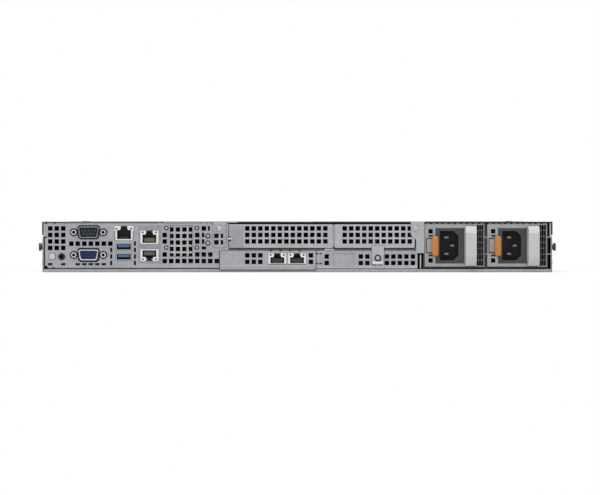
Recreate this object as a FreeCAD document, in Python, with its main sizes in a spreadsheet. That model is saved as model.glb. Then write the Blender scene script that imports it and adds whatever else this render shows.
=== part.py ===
import FreeCAD, Part
import math
import os

import Sketcher

# Driving sizes in millimetres and degrees. The rear face looks along -Y, the drives along +Y.
SIZES = {
    # whole server
    "body_width": 434.0, "body_height": 42.8, "overall_depth": 733.0,
    "handle_reach": 28.0, "front_reach": 22.0,
    # sheet metal
    "sheet": 1.2, "cover_sheet": 1.0, "gap": 0.3, "joggle": 0.9, "joggle_height": 30.0,
    "flange_bottom": 31.5, "hem_top": 2.4, "hem_depth": 6.0, "panel_bottom": 2.9, "corner_notch": 2.2,
    "stamp": 0.4, "tray_field_x": -140.0, "tray_field_y": -225.0, "tray_field_width": 110.0,
    "tray_field_length": 150.0, "tray_field_pitch": 140.0, "tray_field_step": 215.0,
    "lid_field_x": -104.0, "lid_field_y": -235.0, "lid_field_width": 180.0, "lid_field_length": 170.0,
    "lid_field_pitch": 208.0, "lid_field_step": 190.0,
    "standoff_x": -190.0, "standoff_y": -100.0, "standoff_pitch": 190.0, "standoff_step": 195.0,
    "corner_post_x": -200.0, "corner_post_y": 18.0, "corner_post_pitch": 110.0, "corner_post_step": 75.0,
    "card_post_x": -56.0, "card_post_y": 14.0, "card_post_pitch": 62.0, "card_post_step": 70.0,
    "cover_split": 185.0, "dimple_x": 180.0, "dimple_radius": 3.0, "dimple_height": 0.5,
    "dimple_depth": 9.0,
    # vents
    "vent": 3.7, "vent_pitch": 5.53, "slot_wide": 1.9, "slot_narrow": 1.6,
    "io_vent_z": 20.4, "stack_vent_x": -192.1, "stack_vent_z": 24.1, "foot_vent_z": 6.6,
    "foot_vent_x2": -198.9, "foot_vent_x3": -186.6, "usb_vent_x1": -158.2, "usb_vent_x2": -138.0,
    "usb_vent_z": 7.6, "mid_vent_x": -112.7, "mid_vent_z": 9.3, "mid_vent_x2": -85.05,
    "mid_vent_x3": -80.1, "mid_vent_x4": -79.4, "mid_vent_x5": -75.1, "mid_vent_upper": 25.9,
    "mid_vent_top": 37.0, "half_vent": 2.4, "flap_vent_x1": -68.8, "flap_vent_x2": -64.0,
    "flap_vent_z": 25.2, "module_vent_x": -107.05, "module_vent_z": 14.0,
    # connector zone of the rear panel
    "io_left": -210.0, "port_x": -177.4, "serial_z": 33.7, "video_z": 14.45,
    "jackscrew_span": 24.99, "jackscrew_radius": 2.5, "jackscrew_hole": 1.4, "jackscrew_reach": 4.6,
    "shell_top": 8.8, "shell_bottom": 7.5, "shell_half": 4.9, "shell_reach": 5.6, "shell_wall": 1.2,
    "shell_corner": 1.7, "port_ring": 1.1, "port_low": 6.3, "port_foot": 8.0, "jackscrew_ring": 0.9,
    "port_block": 30.6, "port_depth": 12.0, "stack_split": 20.7,
    "id_button_x": -208.3, "id_button_z": 13.3, "id_button_radius": 2.65, "id_button_reach": 1.2,
    "id_jack_x": -200.3, "id_jack_z": 13.0, "id_jack_radius": 2.85, "id_jack_bore": 1.3,
    "usb_x": -147.5, "usb_low_z": 12.85, "usb_pitch": 8.5, "usb_width": 13.0, "usb_height": 5.6,
    "usb_wall": 0.45, "usb_top": 26.0, "usb_depth": 18.0, "usb_reach": 0.6, "usb_mouth": 9.5,
    "usb_tongue_width": 9.6, "usb_tongue_height": 1.6, "usb_tongue_rise": 0.7, "usb_tongue_back": 0.4,
    "pin_size": 0.9, "pin_pitch": 2.77, "pin_row": 1.42, "pin_back": 0.8,
    "id_flange": 0.8, "id_stem": 3.0, "id_rim": 1.0, "id_barrel": 9.0, "id_hole_depth": 8.0,
    "opening_gap": 0.2,
    "manage_x": -147.3, "manage_low": 27.2, "manage_high": 39.1, "manage_width": 16.4,
    "lan_x": -125.7, "lan_width": 15.6, "lan_upper_low": 23.9, "lan_upper_high": 35.2,
    "lan_lower_low": 9.3, "lan_lower_high": 19.2,
    "jack_mouth": 11.8, "jack_tab_wide": 6.4, "jack_tab_narrow": 3.6, "jack_depth": 12.0,
    "jack_rim": 0.8, "jack_step": 1.3,
    "jack_block": 21.0,
    # module window and riser flap
    "module_left": -108.3, "module_right": -89.2, "module_low": 13.1, "module_high": 39.6,
    "panel_step": -66.4, "panel_end": -58.6, "rail_low": 18.4, "rail_high": 20.6,
    "flap_left": -71.7, "flap_right": -60.6, "flap_low": 20.7, "flap_sheet": 0.8,
    # slot covers and network bracket
    "slot_low": 20.1, "slot_high": 40.6, "slot_tab": 10.0,
    "slot1_left": -58.2, "slot1_right": 30.2, "slot1_vent": -42.5,
    "slot2_left": 31.7, "slot2_right": 99.9, "slot2_vent": 40.3, "slot_vent_z": 25.95,
    "slot3_left": 16.2, "slot3_right": 102.2, "slot3_high": 18.2, "slot3_vent": 54.0,
    "tab_left": 63.2, "tab_right": 73.7, "tab_low": 7.0, "tab_high": 22.5,
    "bracket_left": -65.9, "bracket_right": 15.8, "card_jack_low": 6.6, "card_jack_high": 15.9,
    "cover1_notch_z": 28.2, "cover1_notch": 2.2, "cover1_inset": 12.0, "cover2_inset": 8.0,
    "tab_corner": 2.4, "catch_left": 23.0, "catch_right": 31.7, "cover3_vent_z": 7.6, "cover3_vent_x": 25.1,
    "panel_field_left": 31.0, "panel_field_right": 48.0, "panel_field_low": 4.4, "panel_field_high": 15.8,
    "bracket_vent_z": 8.6, "bracket_vent_x": 11.6, "bracket_foot_low": 1.4, "bracket_foot_high": 3.8,
    "card_inset": 2.0, "chip_height": 9.0, "chip_left": -40.0, "chip_size": 25.0, "chip_back": 50.0,
    "edge_left": -55.0, "edge_right": 5.0, "edge_back": 84.0, "edge_size": 8.0,
    "riser_back": 12.0, "riser_slot_back": 30.0, "riser_slot_end": 116.0, "riser_slot_low": 24.0,
    "riser_slot_high": 33.0, "riser_slot_reach": 10.0,
    "card_jack_x1": -17.0, "card_jack_x2": -0.2, "card_jack_width": 15.0,
    # boards
    "board_low": 5.0, "board_sheet": 1.6, "board_edge": 213.0, "board_front": 110.0, "board_back": 6.0,
    "standoff_radius": 3.0, "board_notch": 100.0, "board_power_edge": 201.0,
    "card_depth": 95.0, "riser_x": -70.0, "riser_high": 38.6, "riser_depth": 140.0,
    # processors and memory
    "processor_x": 107.0, "processor_size": 60.0, "processor_high": 9.6,
    "sink_width": 84.0, "sink_depth": 100.0, "sink_base": 4.0, "fin_sheet": 0.8, "fin_pitch": 4.3,
    "fin_count": 20, "sink_high": 36.0,
    "memory_offset": 47.0, "memory_pitch": 8.4, "memory_count": 6, "memory_length": 133.35,
    "memory_height": 31.25, "memory_sheet": 1.3, "socket_width": 5.4, "socket_height": 5.0,
    "socket_length": 141.0, "socket_groove": 2.0,
    "power_socket_gap": 3.0, "power_socket_left": 8.0, "power_socket_right": 42.0, "power_socket_high": 12.4,
    "power_socket_depth": 22.0, "power_mouth_depth": 10.5, "power_mouth_wall": 1.6, "power_mouth_low": 7.6,
    "power_mouth_high": 10.4, "shroud_wall": 1.6, "shroud_window": 70.0, "shroud_window_length": 9.0,
    "shroud_window_y": -30.0, "shroud_window_step": 60.0,
    "shroud_edge": 205.0, "shroud_low": 40.1, "shroud_sheet": 1.1, "shroud_half": 75.0,
    # fans
    "fan_pitch": 84.0, "fan_size": 40.0, "fan_rear": 112.0, "fan_depth": 28.0, "fan_bore": 18.6,
    "fan_hub": 9.5, "fan_hub_depth": 5.0, "blade_tip": 17.2, "blade_sweep": 5.0, "blade_sheet": 1.2,
    "blade_count": 7, "shaft_radius": 1.5, "running_gap": 0.05, "strut": 2.4,
    # power supplies
    "supply_left": 108.3, "supply_width": 50.6, "supply_pitch": 53.2, "supply_low": 4.6,
    "supply_high": 40.6, "supply_depth": 185.0, "supply_sheet": 1.0, "tongue": 12.0,
    "cage_wall": 1.0, "cage_depth": 188.0, "cage_top": 41.2, "shelf_low": 3.2, "shelf_high": 4.2,
    "corner_left": 96.5, "corner_low": 16.0, "corner_knee": 31.5,
    "inlet_left": 9.1, "inlet_right": 33.7, "inlet_low": 7.2, "inlet_high": 37.3,
    "inlet_depth": 22.0, "cavity_left": 12.8, "cavity_right": 28.6, "cavity_low": 9.9,
    "cavity_high": 34.9, "cavity_chamfer": 4.2, "cavity_depth": 17.0, "blade_reach": 15.0,
    "bail_left": 34.2, "bail_right": 43.4, "bail_low": 5.4, "bail_high": 38.8, "bail_sheet": 2.6,
    "bail_corner": 8.0, "grille_x": 44.9, "grille_pitch": 2.1, "grille_slot": 1.6,
    "grille_low": 7.6, "grille_rise": 5.05, "grille_height": 4.4,
    "latch_arm": 1.8, "latch_pivot_x": 3.4, "latch_pivot_depth": 40.0, "latch_low": 16.7,
    "latch_high": 28.0, "tab_inner": 6.1, "tab_outer": 11.8, "orange_low": 13.4, "orange_high": 30.5,
    "orange_reach": 9.0, "latch_gap": 0.6, "latch_proud": 2.0, "latch_sheet": 1.2, "latch_eye": 2.2,
    "hatch_left": 1.3, "hatch_right": 8.2, "hatch_gap": 0.8, "hook_start": 14.0, "hook_end": 20.0,
    "hook_half": 3.0, "hook_point": 0.2, "side_hatch_start": 12.0, "side_hatch_end": 22.0,
    "side_hatch_half": 4.0, "eye_x": 5.0, "eye_upper": 34.6, "eye_lower": 9.8,
    "tongue_left": 10.0, "tongue_right": 40.0, "tongue_low": 8.2, "tongue_high": 9.8,
    "inlet_back": 0.5, "blade_width": 4.0, "blade_thick": 2.0, "blade_x": 18.5, "earth_x": 23.4,
    "blade_upper": 29.4, "earth_z": 22.4, "blade_lower": 15.4, "corner_step": 4.5, "corner_drop": 4.0,
    # front
    "bay_pitch": 107.6, "partition": 1.2, "bay_high": 31.4, "cage_rear": 190.0,
    "carrier_width": 105.8, "bezel_low": 1.6, "bezel_high": 31.0, "bezel_depth": 12.0,
    "bezel_wall": 2.0, "rail_sheet": 1.4, "drive_width": 101.6, "drive_height": 26.1,
    "drive_length": 147.0, "drive_low": 3.0, "drive_cut": 2.5, "drive_start": 7.0, "bezel_gap": 1.5,
    "bezel_slot": 5.6, "bezel_slot_height": 22.4, "bezel_slot_z": 16.3, "bezel_slot_first": -38.5,
    "bezel_slot_pitch": 7.7, "carrier_rail_low": 4.0, "carrier_rail_high": 25.0, "carrier_rail_start": 12.0,
    "lug_half": 3.4, "lug_front": 2.6, "lever_gap": 0.2, "lever_window": 7.4, "lever_window_first": -30.0,
    "lever_bevel": 3.0, "lever_shoulder": 8.0,
    "strip_first": -205.2, "strip_slot": 8.4, "strip_slot_height": 4.8, "strip_pitch": 11.4,
    "backplane_edge": 212.0, "backplane_high": 39.0, "backplane_set": 4.0, "air_slot": 86.0,
    "air_slot_height": 8.0, "air_slot_z": 33.0, "drive_socket": 44.0, "drive_socket_height": 7.0,
    "drive_socket_z": 11.0, "drive_socket_reach": 6.4,
    "lever_pivot_x": -46.0, "lever_pivot_reach": 15.4, "lever_left": 1.8, "lever_right": 45.0,
    "lever_low": 9.6, "lever_high": 23.0, "lever_back": 2.2, "lug": 2.0,
    "ear_half": 241.0, "ear_sheet": 2.0, "ear_low": 0.6, "ear_high": 42.2, "rack_span": 465.1,
    "rack_rise": 31.75, "rack_mid": 21.4, "rack_slot": 10.5, "rack_slot_height": 6.8,
    "ear_leg": 38.0, "ear_leg_sheet": 1.5, "housing_low": 9.8, "housing_high": 32.8,
    "housing_side": 233.0, "housing_reach": 18.0, "power_x": 225.2, "power_radius": 4.0,
    "claw_x": 236.5, "claw_pivot": 5.0, "claw_low": 13.0, "claw_high": 29.6, "claw_hook": 8.0,
    "claw_room": 1.4, "claw_gap": 0.3, "claw_edge": 240.6, "claw_tip": 236.6, "claw_bevel": 1.2,
    "claw_proud": 1.0,
    "claw_clear": 0.7, "claw_knee": 12.0, "hook_low": 17.6, "hook_high": 25.0, "hook_in": 234.6,
    "hook_out": 239.2, "hook_waist": 237.4, "hook_nose": 4.6, "hook_back": 3.0,
    "hook_window_in": 230.4, "hook_window_out": 239.9, "hook_window_low": 17.0, "hook_window_high": 25.6,
    "leg_low": 3.0, "leg_high": 29.0, "housing_gap": 0.6, "housing_bevel": 3.0, "lug_reach": 3.6,
    "button_well": 9.0, "button_length": 7.4, "button_proud": 0.8,
    # cover latch
    "latch_y": 93.0, "well_width": 92.0, "well_length": 30.0, "well_floor": 34.8,
    "latch_half": 44.0, "latch_pivot_y": 11.0, "latch_pivot_z": 39.5, "latch_rear": 8.0,
    # side studs
    "stud_z": 21.35, "stud_head": 3.4, "stud_shank": 2.4, "stud_reach": 4.8, "stud_neck": 2.6,
    "stud_first": 40.0, "stud_pitch": 180.0,
}


class Size:
    """A length that carries the sheet formula it is worked out from."""

    def __init__(self, number, formula):
        self.number = float(number)
        self.formula = formula

    def __add__(self, other):
        other = as_size(other)
        return Size(self.number + other.number, f"({self.formula} + {other.formula})")

    def __sub__(self, other):
        other = as_size(other)
        return Size(self.number - other.number, f"({self.formula} - {other.formula})")

    def __mul__(self, other):
        other = as_size(other)
        return Size(self.number * other.number, f"({self.formula} * {other.formula})")

    def __truediv__(self, other):
        other = as_size(other)
        return Size(self.number / other.number, f"({self.formula} / {other.formula})")

    def __rsub__(self, other):
        return as_size(other) - self

    def __neg__(self):
        return Size(-self.number, f"(0 - {self.formula})")

    __radd__ = __add__
    __rmul__ = __mul__


def as_size(value):
    return value if isinstance(value, Size) else Size(value, f"({float(value)})")


class Sheet:
    """The spreadsheet, read as attributes: sizes.vent is the cell with that alias."""

    def __init__(self, document, table):
        self.cells = document.addObject("Spreadsheet::Sheet", "Sizes")
        for row, (alias, number) in enumerate(table.items(), start=1):
            self.cells.set(f"A{row}", alias.replace("_", " "))
            self.cells.set(f"B{row}", str(number))
            self.cells.setAlias(f"B{row}", alias)
            setattr(self, alias, Size(number, f"Sizes.{alias}"))


doc = FreeCAD.newDocument("RackServer")
sizes = Sheet(doc, SIZES)
doc.recompute()

# Planes and levels that most pieces share.
rear = sizes.handle_reach - sizes.overall_depth / 2
rear_inside = rear + sizes.sheet
ear_plane = sizes.overall_depth / 2 - sizes.front_reach
front = sizes.overall_depth / 2
wall_out = sizes.body_width / 2 - sizes.cover_sheet - sizes.gap
wall_in = wall_out - sizes.sheet
skirt_out = wall_out + sizes.joggle
skirt_in = skirt_out - sizes.sheet
wall_top = sizes.body_height - sizes.cover_sheet - sizes.gap
cover_under = sizes.body_height - sizes.cover_sheet
board_top = sizes.board_low + sizes.board_sheet

PLANE_SIDE = {"XY": 1, "XZ": -1, "YZ": 1}
subparts = []


def new_body(label):
    body = doc.addObject("PartDesign::Body", label)
    body.Label = label
    subparts.append(body)
    return body


def origin(body, role):
    return next(item for item in body.Origin.OriginFeatures if item.Role == role)


def rectangle(left, low, right, high):
    return [(left, low), (right, low), (right, high), (left, high)]


def centred(x, y, width, height):
    x, y, width, height = (as_size(value) for value in (x, y, width, height))
    return rectangle(x - width / 2, y - height / 2, x + width / 2, y + height / 2)


def regular(x, y, radius, corners):
    """An upright prism's outline with that many equal sides."""
    x, y, radius = as_size(x), as_size(y), as_size(radius)
    turns = [2 * math.pi * number / corners for number in range(corners)]
    return [(x + radius * round(math.cos(turn), 6), y + radius * round(math.sin(turn), 6)) for turn in turns]


def circle(x, y, radius):
    return {"x": as_size(x), "y": as_size(y), "radius": as_size(radius)}


def hold_point(held, geometry, vertex, x, y):
    """Two constraints that hold a sketch point at its sheet formulas."""
    for kind, value in (("DistanceX", x), ("DistanceY", y)):
        held.append((Sketcher.Constraint(kind, -1, 1, geometry, vertex, value.number), value.formula))


def draw_polygon(sketch, held, points):
    points = [(as_size(x), as_size(y)) for x, y in points]
    count = len(points)
    first = sketch.GeometryCount
    corners = [FreeCAD.Vector(x.number, y.number, 0) for x, y in points]
    sketch.addGeometry([Part.LineSegment(corners[i], corners[(i + 1) % count]) for i in range(count)])
    for i, (x, y) in enumerate(points):
        held.append((Sketcher.Constraint("Coincident", first + i, 2, first + (i + 1) % count, 1), None))
        hold_point(held, first + i, 1, x, y)


def draw_circle(sketch, held, shape):
    centre = FreeCAD.Vector(shape["x"].number, shape["y"].number, 0)
    ring = sketch.addGeometry(Part.Circle(centre, FreeCAD.Vector(0, 0, 1), shape["radius"].number))
    hold_point(held, ring, 3, shape["x"], shape["y"])
    held.append((Sketcher.Constraint("Radius", ring, shape["radius"].number), shape["radius"].formula))


def draw(body, plane, level, shapes):
    sketch = body.newObject("Sketcher::SketchObject", body.Label + "_sketch")
    sketch.AttachmentSupport = (origin(body, plane + "_Plane"), [""])
    sketch.MapMode = "FlatFace"
    sketch.setExpression("AttachmentOffset.Base.z", (as_size(level) * PLANE_SIDE[plane]).formula)
    held = []
    for shape in shapes:
        if isinstance(shape, dict):
            draw_circle(sketch, held, shape)
        else:
            draw_polygon(sketch, held, shape)
    sketch.addConstraint([constraint for constraint, formula in held])
    for index, (constraint, formula) in enumerate(held):
        if formula:
            sketch.setExpression(f"Constraints[{index}]", formula)
    return sketch


def add_feature(body, kind, sketch, low, high):
    feature = body.newObject("PartDesign::" + kind, f"{body.Label}_{kind.lower()}")
    feature.Profile = sketch
    feature.setExpression("Length", (high - low).formula)
    feature.Refine = kind == "Pad"
    body.Tip = feature
    return feature


def pad(body, plane, low, high, *shapes):
    """Adds material between two levels along the axis that the plane faces."""
    low, high = as_size(low), as_size(high)
    level = low if PLANE_SIDE[plane] > 0 else high
    return add_feature(body, "Pad", draw(body, plane, level, shapes), low, high)


def pocket(body, plane, low, high, *shapes):
    """Cuts material away between two levels along the axis that the plane faces."""
    low, high = as_size(low), as_size(high)
    level = high if PLANE_SIDE[plane] > 0 else low
    return add_feature(body, "Pocket", draw(body, plane, level, shapes), low, high)


def repeat(body, features, axis, pitch, count, axis2=None, pitch2=0, count2=1):
    """Repeats a feature, or several in their order, along one body axis, or two."""
    pattern = body.newObject("PartDesign::LinearPattern", body.Label + "_pattern")
    pattern.Originals = features if isinstance(features, list) else [features]
    pattern.Direction = (origin(body, axis + "_Axis"), [""])
    pattern.Refine = False
    pattern.Occurrences = int(as_size(count).number)
    pattern.setExpression("Length", (as_size(pitch) * (as_size(count) - 1)).formula)
    if axis2:
        pattern.Direction2 = (origin(body, axis2 + "_Axis"), [""])
        pattern.Occurrences2 = int(as_size(count2).number)
        pattern.setExpression("Length2", (as_size(pitch2) * (as_size(count2) - 1)).formula)
    body.Tip = pattern
    return pattern


def polar(body, feature, axis, count):
    pattern = body.newObject("PartDesign::PolarPattern", body.Label + "_polar")
    pattern.Originals = [feature]
    pattern.Axis = (origin(body, axis + "_Axis"), [""])
    pattern.Angle = 360
    pattern.Occurrences = int(as_size(count).number)
    body.Tip = pattern
    return pattern


def round_edges(body, radius, wanted):
    """Rounds the edges of the tip whose middle point and direction pass the test."""
    doc.recompute([body.Tip])
    names = []
    for number, edge in enumerate(body.Tip.Shape.Edges, start=1):
        ends = [vertex.Point for vertex in edge.Vertexes]
        if len(ends) == 2 and wanted((ends[0] + ends[1]) / 2, (ends[1] - ends[0]).normalize()):
            names.append(f"Edge{number}")
    base = body.Tip
    fillet = body.newObject("PartDesign::Fillet", body.Label + "_fillet")
    fillet.Base = (base, names)
    fillet.setExpression("Radius", as_size(radius).formula)
    body.Tip = fillet


def vents(body, low, high, x, z, across=1, up=1, width=None, height=None, pitch=None):
    """Square vents, or slots, in rows and columns through a sheet between two depths."""
    width = width or sizes.vent
    height = height or sizes.vent
    pitch = pitch or sizes.vent_pitch
    hole = pocket(body, "XZ", low, high, centred(x, z, width, height))
    if across > 1 and up > 1:
        repeat(body, hole, "X", pitch, across, "Z", pitch, up)
    elif across > 1:
        repeat(body, hole, "X", pitch, across)
    elif up > 1:
        repeat(body, hole, "Z", pitch, up)


def port_outline(x, z, grow=0):
    """The trapezoid of a D-shaped connector, wider at its top."""
    half, low, high = sizes.shell_half + grow, sizes.shell_bottom + grow, sizes.shell_top + grow
    cut, lean = sizes.shell_corner, sizes.shell_corner / 4
    return [(x - low + cut, z - half), (x + low - cut, z - half), (x + low + lean, z - half + cut),
            (x + high - lean, z + half - cut), (x + high - cut, z + half), (x - high + cut, z + half),
            (x - high + lean, z + half - cut), (x - low - lean, z - half + cut)]


def jack_outline(x, low, high, tab_up):
    """The mouth of a network socket with its stepped notch for the plug's tab."""
    half, wide, narrow = sizes.jack_mouth / 2, sizes.jack_tab_wide / 2, sizes.jack_tab_narrow / 2
    edge, step = sizes.jack_rim, sizes.jack_step
    if tab_up:
        base, shoulder, notch, peak = low + edge, high - edge - 2 * step, high - edge - step, high - edge
    else:
        base, shoulder, notch, peak = high - edge, low + edge + 2 * step, low + edge + step, low + edge
    return [(x - half, base), (x + half, base), (x + half, shoulder), (x + wide, shoulder),
            (x + wide, notch), (x + narrow, notch), (x + narrow, peak), (x - narrow, peak),
            (x - narrow, notch), (x - wide, notch), (x - wide, shoulder), (x - half, shoulder)]


def build_chassis_tray():
    tray = new_body("chassis_tray")
    half = [(skirt_out, 0), (skirt_out, sizes.joggle_height),
            (wall_out, sizes.joggle_height + sizes.joggle), (wall_out, wall_top), (wall_in, wall_top),
            (wall_in, sizes.joggle_height + sizes.joggle / 2),
            (skirt_in, sizes.joggle_height - sizes.joggle / 2), (skirt_in, sizes.sheet)]
    other = [(-x, z) for x, z in reversed(half)]
    pad(tray, "XZ", rear, ear_plane, half + other)
    pad(tray, "XZ", rear, rear + sizes.hem_depth,
        rectangle(-skirt_in, sizes.sheet, skirt_in, sizes.hem_top))
    # hexagonal standoffs under the main board, its rear corner and the network card
    main = pad(tray, "XY", sizes.sheet, sizes.board_low,
               regular(sizes.standoff_x, sizes.standoff_y, sizes.standoff_radius, 6))
    repeat(tray, main, "X", sizes.standoff_pitch, 3, "Y", sizes.standoff_step, 2)
    corner = pad(tray, "XY", sizes.sheet, sizes.board_low,
                 regular(sizes.corner_post_x, rear + sizes.corner_post_y, sizes.standoff_radius, 6))
    repeat(tray, corner, "X", sizes.corner_post_pitch, 2, "Y", sizes.corner_post_step, 2)
    card = pad(tray, "XY", sizes.sheet, sizes.board_low,
               regular(sizes.card_post_x, rear + sizes.card_post_y, sizes.standoff_radius, 6))
    repeat(tray, card, "X", sizes.card_post_pitch, 2, "Y", sizes.card_post_step, 2)
    # stiffening fields pressed into the underside
    field = pocket(tray, "XY", 0, sizes.stamp,
                   centred(sizes.tray_field_x, sizes.tray_field_y, sizes.tray_field_width,
                           sizes.tray_field_length))
    repeat(tray, field, "X", sizes.tray_field_pitch, 3, "Y", sizes.tray_field_step, 3)


def build_rear_panel():
    panel = new_body("rear_panel")
    pad(panel, "XZ", rear, rear_inside,
        [(-wall_in, sizes.panel_bottom + sizes.corner_notch),
         (sizes.corner_notch - wall_in, sizes.panel_bottom + sizes.corner_notch),
         (sizes.corner_notch - wall_in, sizes.panel_bottom), (sizes.panel_step, sizes.panel_bottom),
         (sizes.panel_step, sizes.rail_low), (sizes.panel_end, sizes.rail_low),
         (sizes.panel_end, wall_top), (-wall_in, wall_top)])
    pad(panel, "XZ", rear_inside, rear_inside + sizes.sheet,
        rectangle(sizes.flap_left, sizes.rail_low, sizes.supply_left - sizes.gap - sizes.cage_wall,
                  sizes.rail_high))
    pad(panel, "XZ", rear - sizes.flap_sheet, rear,
        rectangle(sizes.flap_left, sizes.flap_low, sizes.flap_right, sizes.body_height))
    cut_low, cut_high = rear, rear_inside
    for z in (sizes.serial_z, sizes.video_z):
        pocket(panel, "XZ", cut_low, cut_high, port_outline(sizes.port_x, z, sizes.port_ring))
        pocket(panel, "XZ", cut_low, cut_high,
               *[regular(sizes.port_x + side * sizes.jackscrew_span / 2, z,
                         sizes.jackscrew_radius + sizes.jackscrew_ring, 14) for side in (-1, 1)])
    pocket(panel, "XZ", cut_low, cut_high,
           regular(sizes.id_button_x, sizes.id_button_z, sizes.id_button_radius + 0.35, 20),
           regular(sizes.id_jack_x, sizes.id_jack_z, sizes.id_jack_radius - 0.4, 12))
    usb = pocket(panel, "XZ", cut_low, cut_high,
                 centred(sizes.usb_x, sizes.usb_low_z, sizes.usb_width + 0.5, sizes.usb_height + 0.5))
    repeat(panel, usb, "Z", sizes.usb_pitch, 2)
    for x, width, low, high in network_sockets()[:3]:
        pocket(panel, "XZ", cut_low, cut_high,
               rectangle(x - width / 2 - sizes.opening_gap, low - sizes.opening_gap,
                         x + width / 2 + sizes.opening_gap, high + sizes.opening_gap))
    pocket(panel, "XZ", cut_low, cut_high,
           rectangle(sizes.module_left, sizes.module_low, sizes.module_right, sizes.module_high))
    # connector zone
    vents(panel, cut_low, cut_high, sizes.io_left, sizes.io_vent_z, 3, 4)
    vents(panel, cut_low, cut_high, sizes.stack_vent_x, sizes.stack_vent_z, 7)
    for x, across in ((sizes.io_left, 1), (sizes.foot_vent_x2, 1), (sizes.foot_vent_x3, 5)):
        vents(panel, cut_low, cut_high, x, sizes.foot_vent_z, across, 1, height=sizes.slot_wide)
    vents(panel, cut_low, cut_high, sizes.usb_vent_x1, sizes.usb_vent_z, 1, 3, width=sizes.slot_narrow)
    vents(panel, cut_low, cut_high, sizes.usb_vent_x2, sizes.usb_vent_z, 1, 4, width=sizes.slot_narrow)
    # middle zone, round the module window
    second_row = sizes.mid_vent_z + sizes.vent_pitch
    vents(panel, cut_low, cut_high, sizes.mid_vent_x, sizes.mid_vent_z, 9)
    vents(panel, cut_low, cut_high, sizes.mid_vent_x, second_row)
    vents(panel, cut_low, cut_high, sizes.mid_vent_x, sizes.mid_vent_upper, 1, 2)
    vents(panel, cut_low, cut_high, sizes.mid_vent_x2, second_row, 3)
    vents(panel, cut_low, cut_high, sizes.mid_vent_x2, sizes.mid_vent_upper, 1, 2)
    vents(panel, cut_low, cut_high, sizes.mid_vent_x3, sizes.mid_vent_upper, 1, 2, width=sizes.slot_wide)
    vents(panel, cut_low, cut_high, sizes.mid_vent_x4, sizes.mid_vent_top)
    vents(panel, cut_low, cut_high, sizes.mid_vent_x5, sizes.mid_vent_top, width=sizes.slot_narrow)
    vents(panel, cut_low, cut_high, sizes.mid_vent_x4, sizes.io_vent_z, height=sizes.half_vent)
    # holes through the riser flap and the panel behind it
    flap_face = rear - sizes.flap_sheet
    vents(panel, flap_face, cut_high, sizes.flap_vent_x1, sizes.flap_vent_z, 1, 2)
    vents(panel, flap_face, cut_high, sizes.flap_vent_x2, sizes.flap_vent_z, 1, 2, width=sizes.slot_wide)


def network_sockets():
    """Centre, width, low and high edge of each network socket's nose."""
    return [
        (sizes.manage_x, sizes.manage_width, sizes.manage_low, sizes.manage_high),
        (sizes.lan_x, sizes.lan_width, sizes.lan_upper_low, sizes.lan_upper_high),
        (sizes.lan_x, sizes.lan_width, sizes.lan_lower_low, sizes.lan_lower_high),
        (sizes.card_jack_x1, sizes.card_jack_width, sizes.card_jack_low, sizes.card_jack_high),
        (sizes.card_jack_x2, sizes.card_jack_width, sizes.card_jack_low, sizes.card_jack_high),
    ]


def build_network_jacks():
    jacks = new_body("network_jacks")
    sockets = network_sockets()
    x, width, low, high = sockets[0]
    pad(jacks, "XZ", rear_inside, rear + sizes.jack_block,
        rectangle(x - width / 2, sizes.usb_top, x + width / 2, high + 0.5))
    x, width, low, high = sockets[1]
    pad(jacks, "XZ", rear_inside, rear + sizes.jack_block,
        rectangle(x - width / 2, board_top, x + width / 2, high + 0.5))
    for x, width, low, high in sockets[3:]:
        pad(jacks, "XZ", rear_inside, rear + sizes.jack_block,
            rectangle(x - width / 2 - 0.3, board_top, x + width / 2 + 0.3, high + 0.5))
    for x, width, low, high in sockets:
        pad(jacks, "XZ", rear, rear_inside, rectangle(x - width / 2, low, x + width / 2, high))
    for number, (x, width, low, high) in enumerate(sockets):
        pocket(jacks, "XZ", rear, rear + sizes.jack_depth, jack_outline(x, low, high, number != 2))


def build_ports():
    x, half = sizes.port_x, sizes.port_block / 2
    foot, back = rear + sizes.port_foot, rear + sizes.port_depth
    ports = []
    for name, z, base in (("serial_port", sizes.serial_z, sizes.stack_split),
                          ("video_port", sizes.video_z, board_top)):
        port = new_body(name)
        pad(port, "XZ", rear_inside, back,
            rectangle(x - half, z - sizes.port_low, x + half, z + sizes.port_low - 0.1))
        pad(port, "XZ", foot, back, rectangle(x - half, base, x + half, z - sizes.port_low))
        pad(port, "XZ", rear - sizes.shell_reach, rear_inside, port_outline(x, z))
        ports.append(port)
    serial, z = ports[0], sizes.serial_z
    pocket(serial, "XZ", rear - sizes.shell_reach, rear, port_outline(x, z, -sizes.shell_wall))
    for count, row in ((5, sizes.pin_row), (4, -sizes.pin_row)):
        pin_x = x - sizes.pin_pitch * (count - 1) / 2
        pin = pad(serial, "XZ", rear - sizes.shell_reach + sizes.pin_back, rear,
                  centred(pin_x, z + row, sizes.pin_size, sizes.pin_size))
        repeat(serial, pin, "X", sizes.pin_pitch, count)


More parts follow.
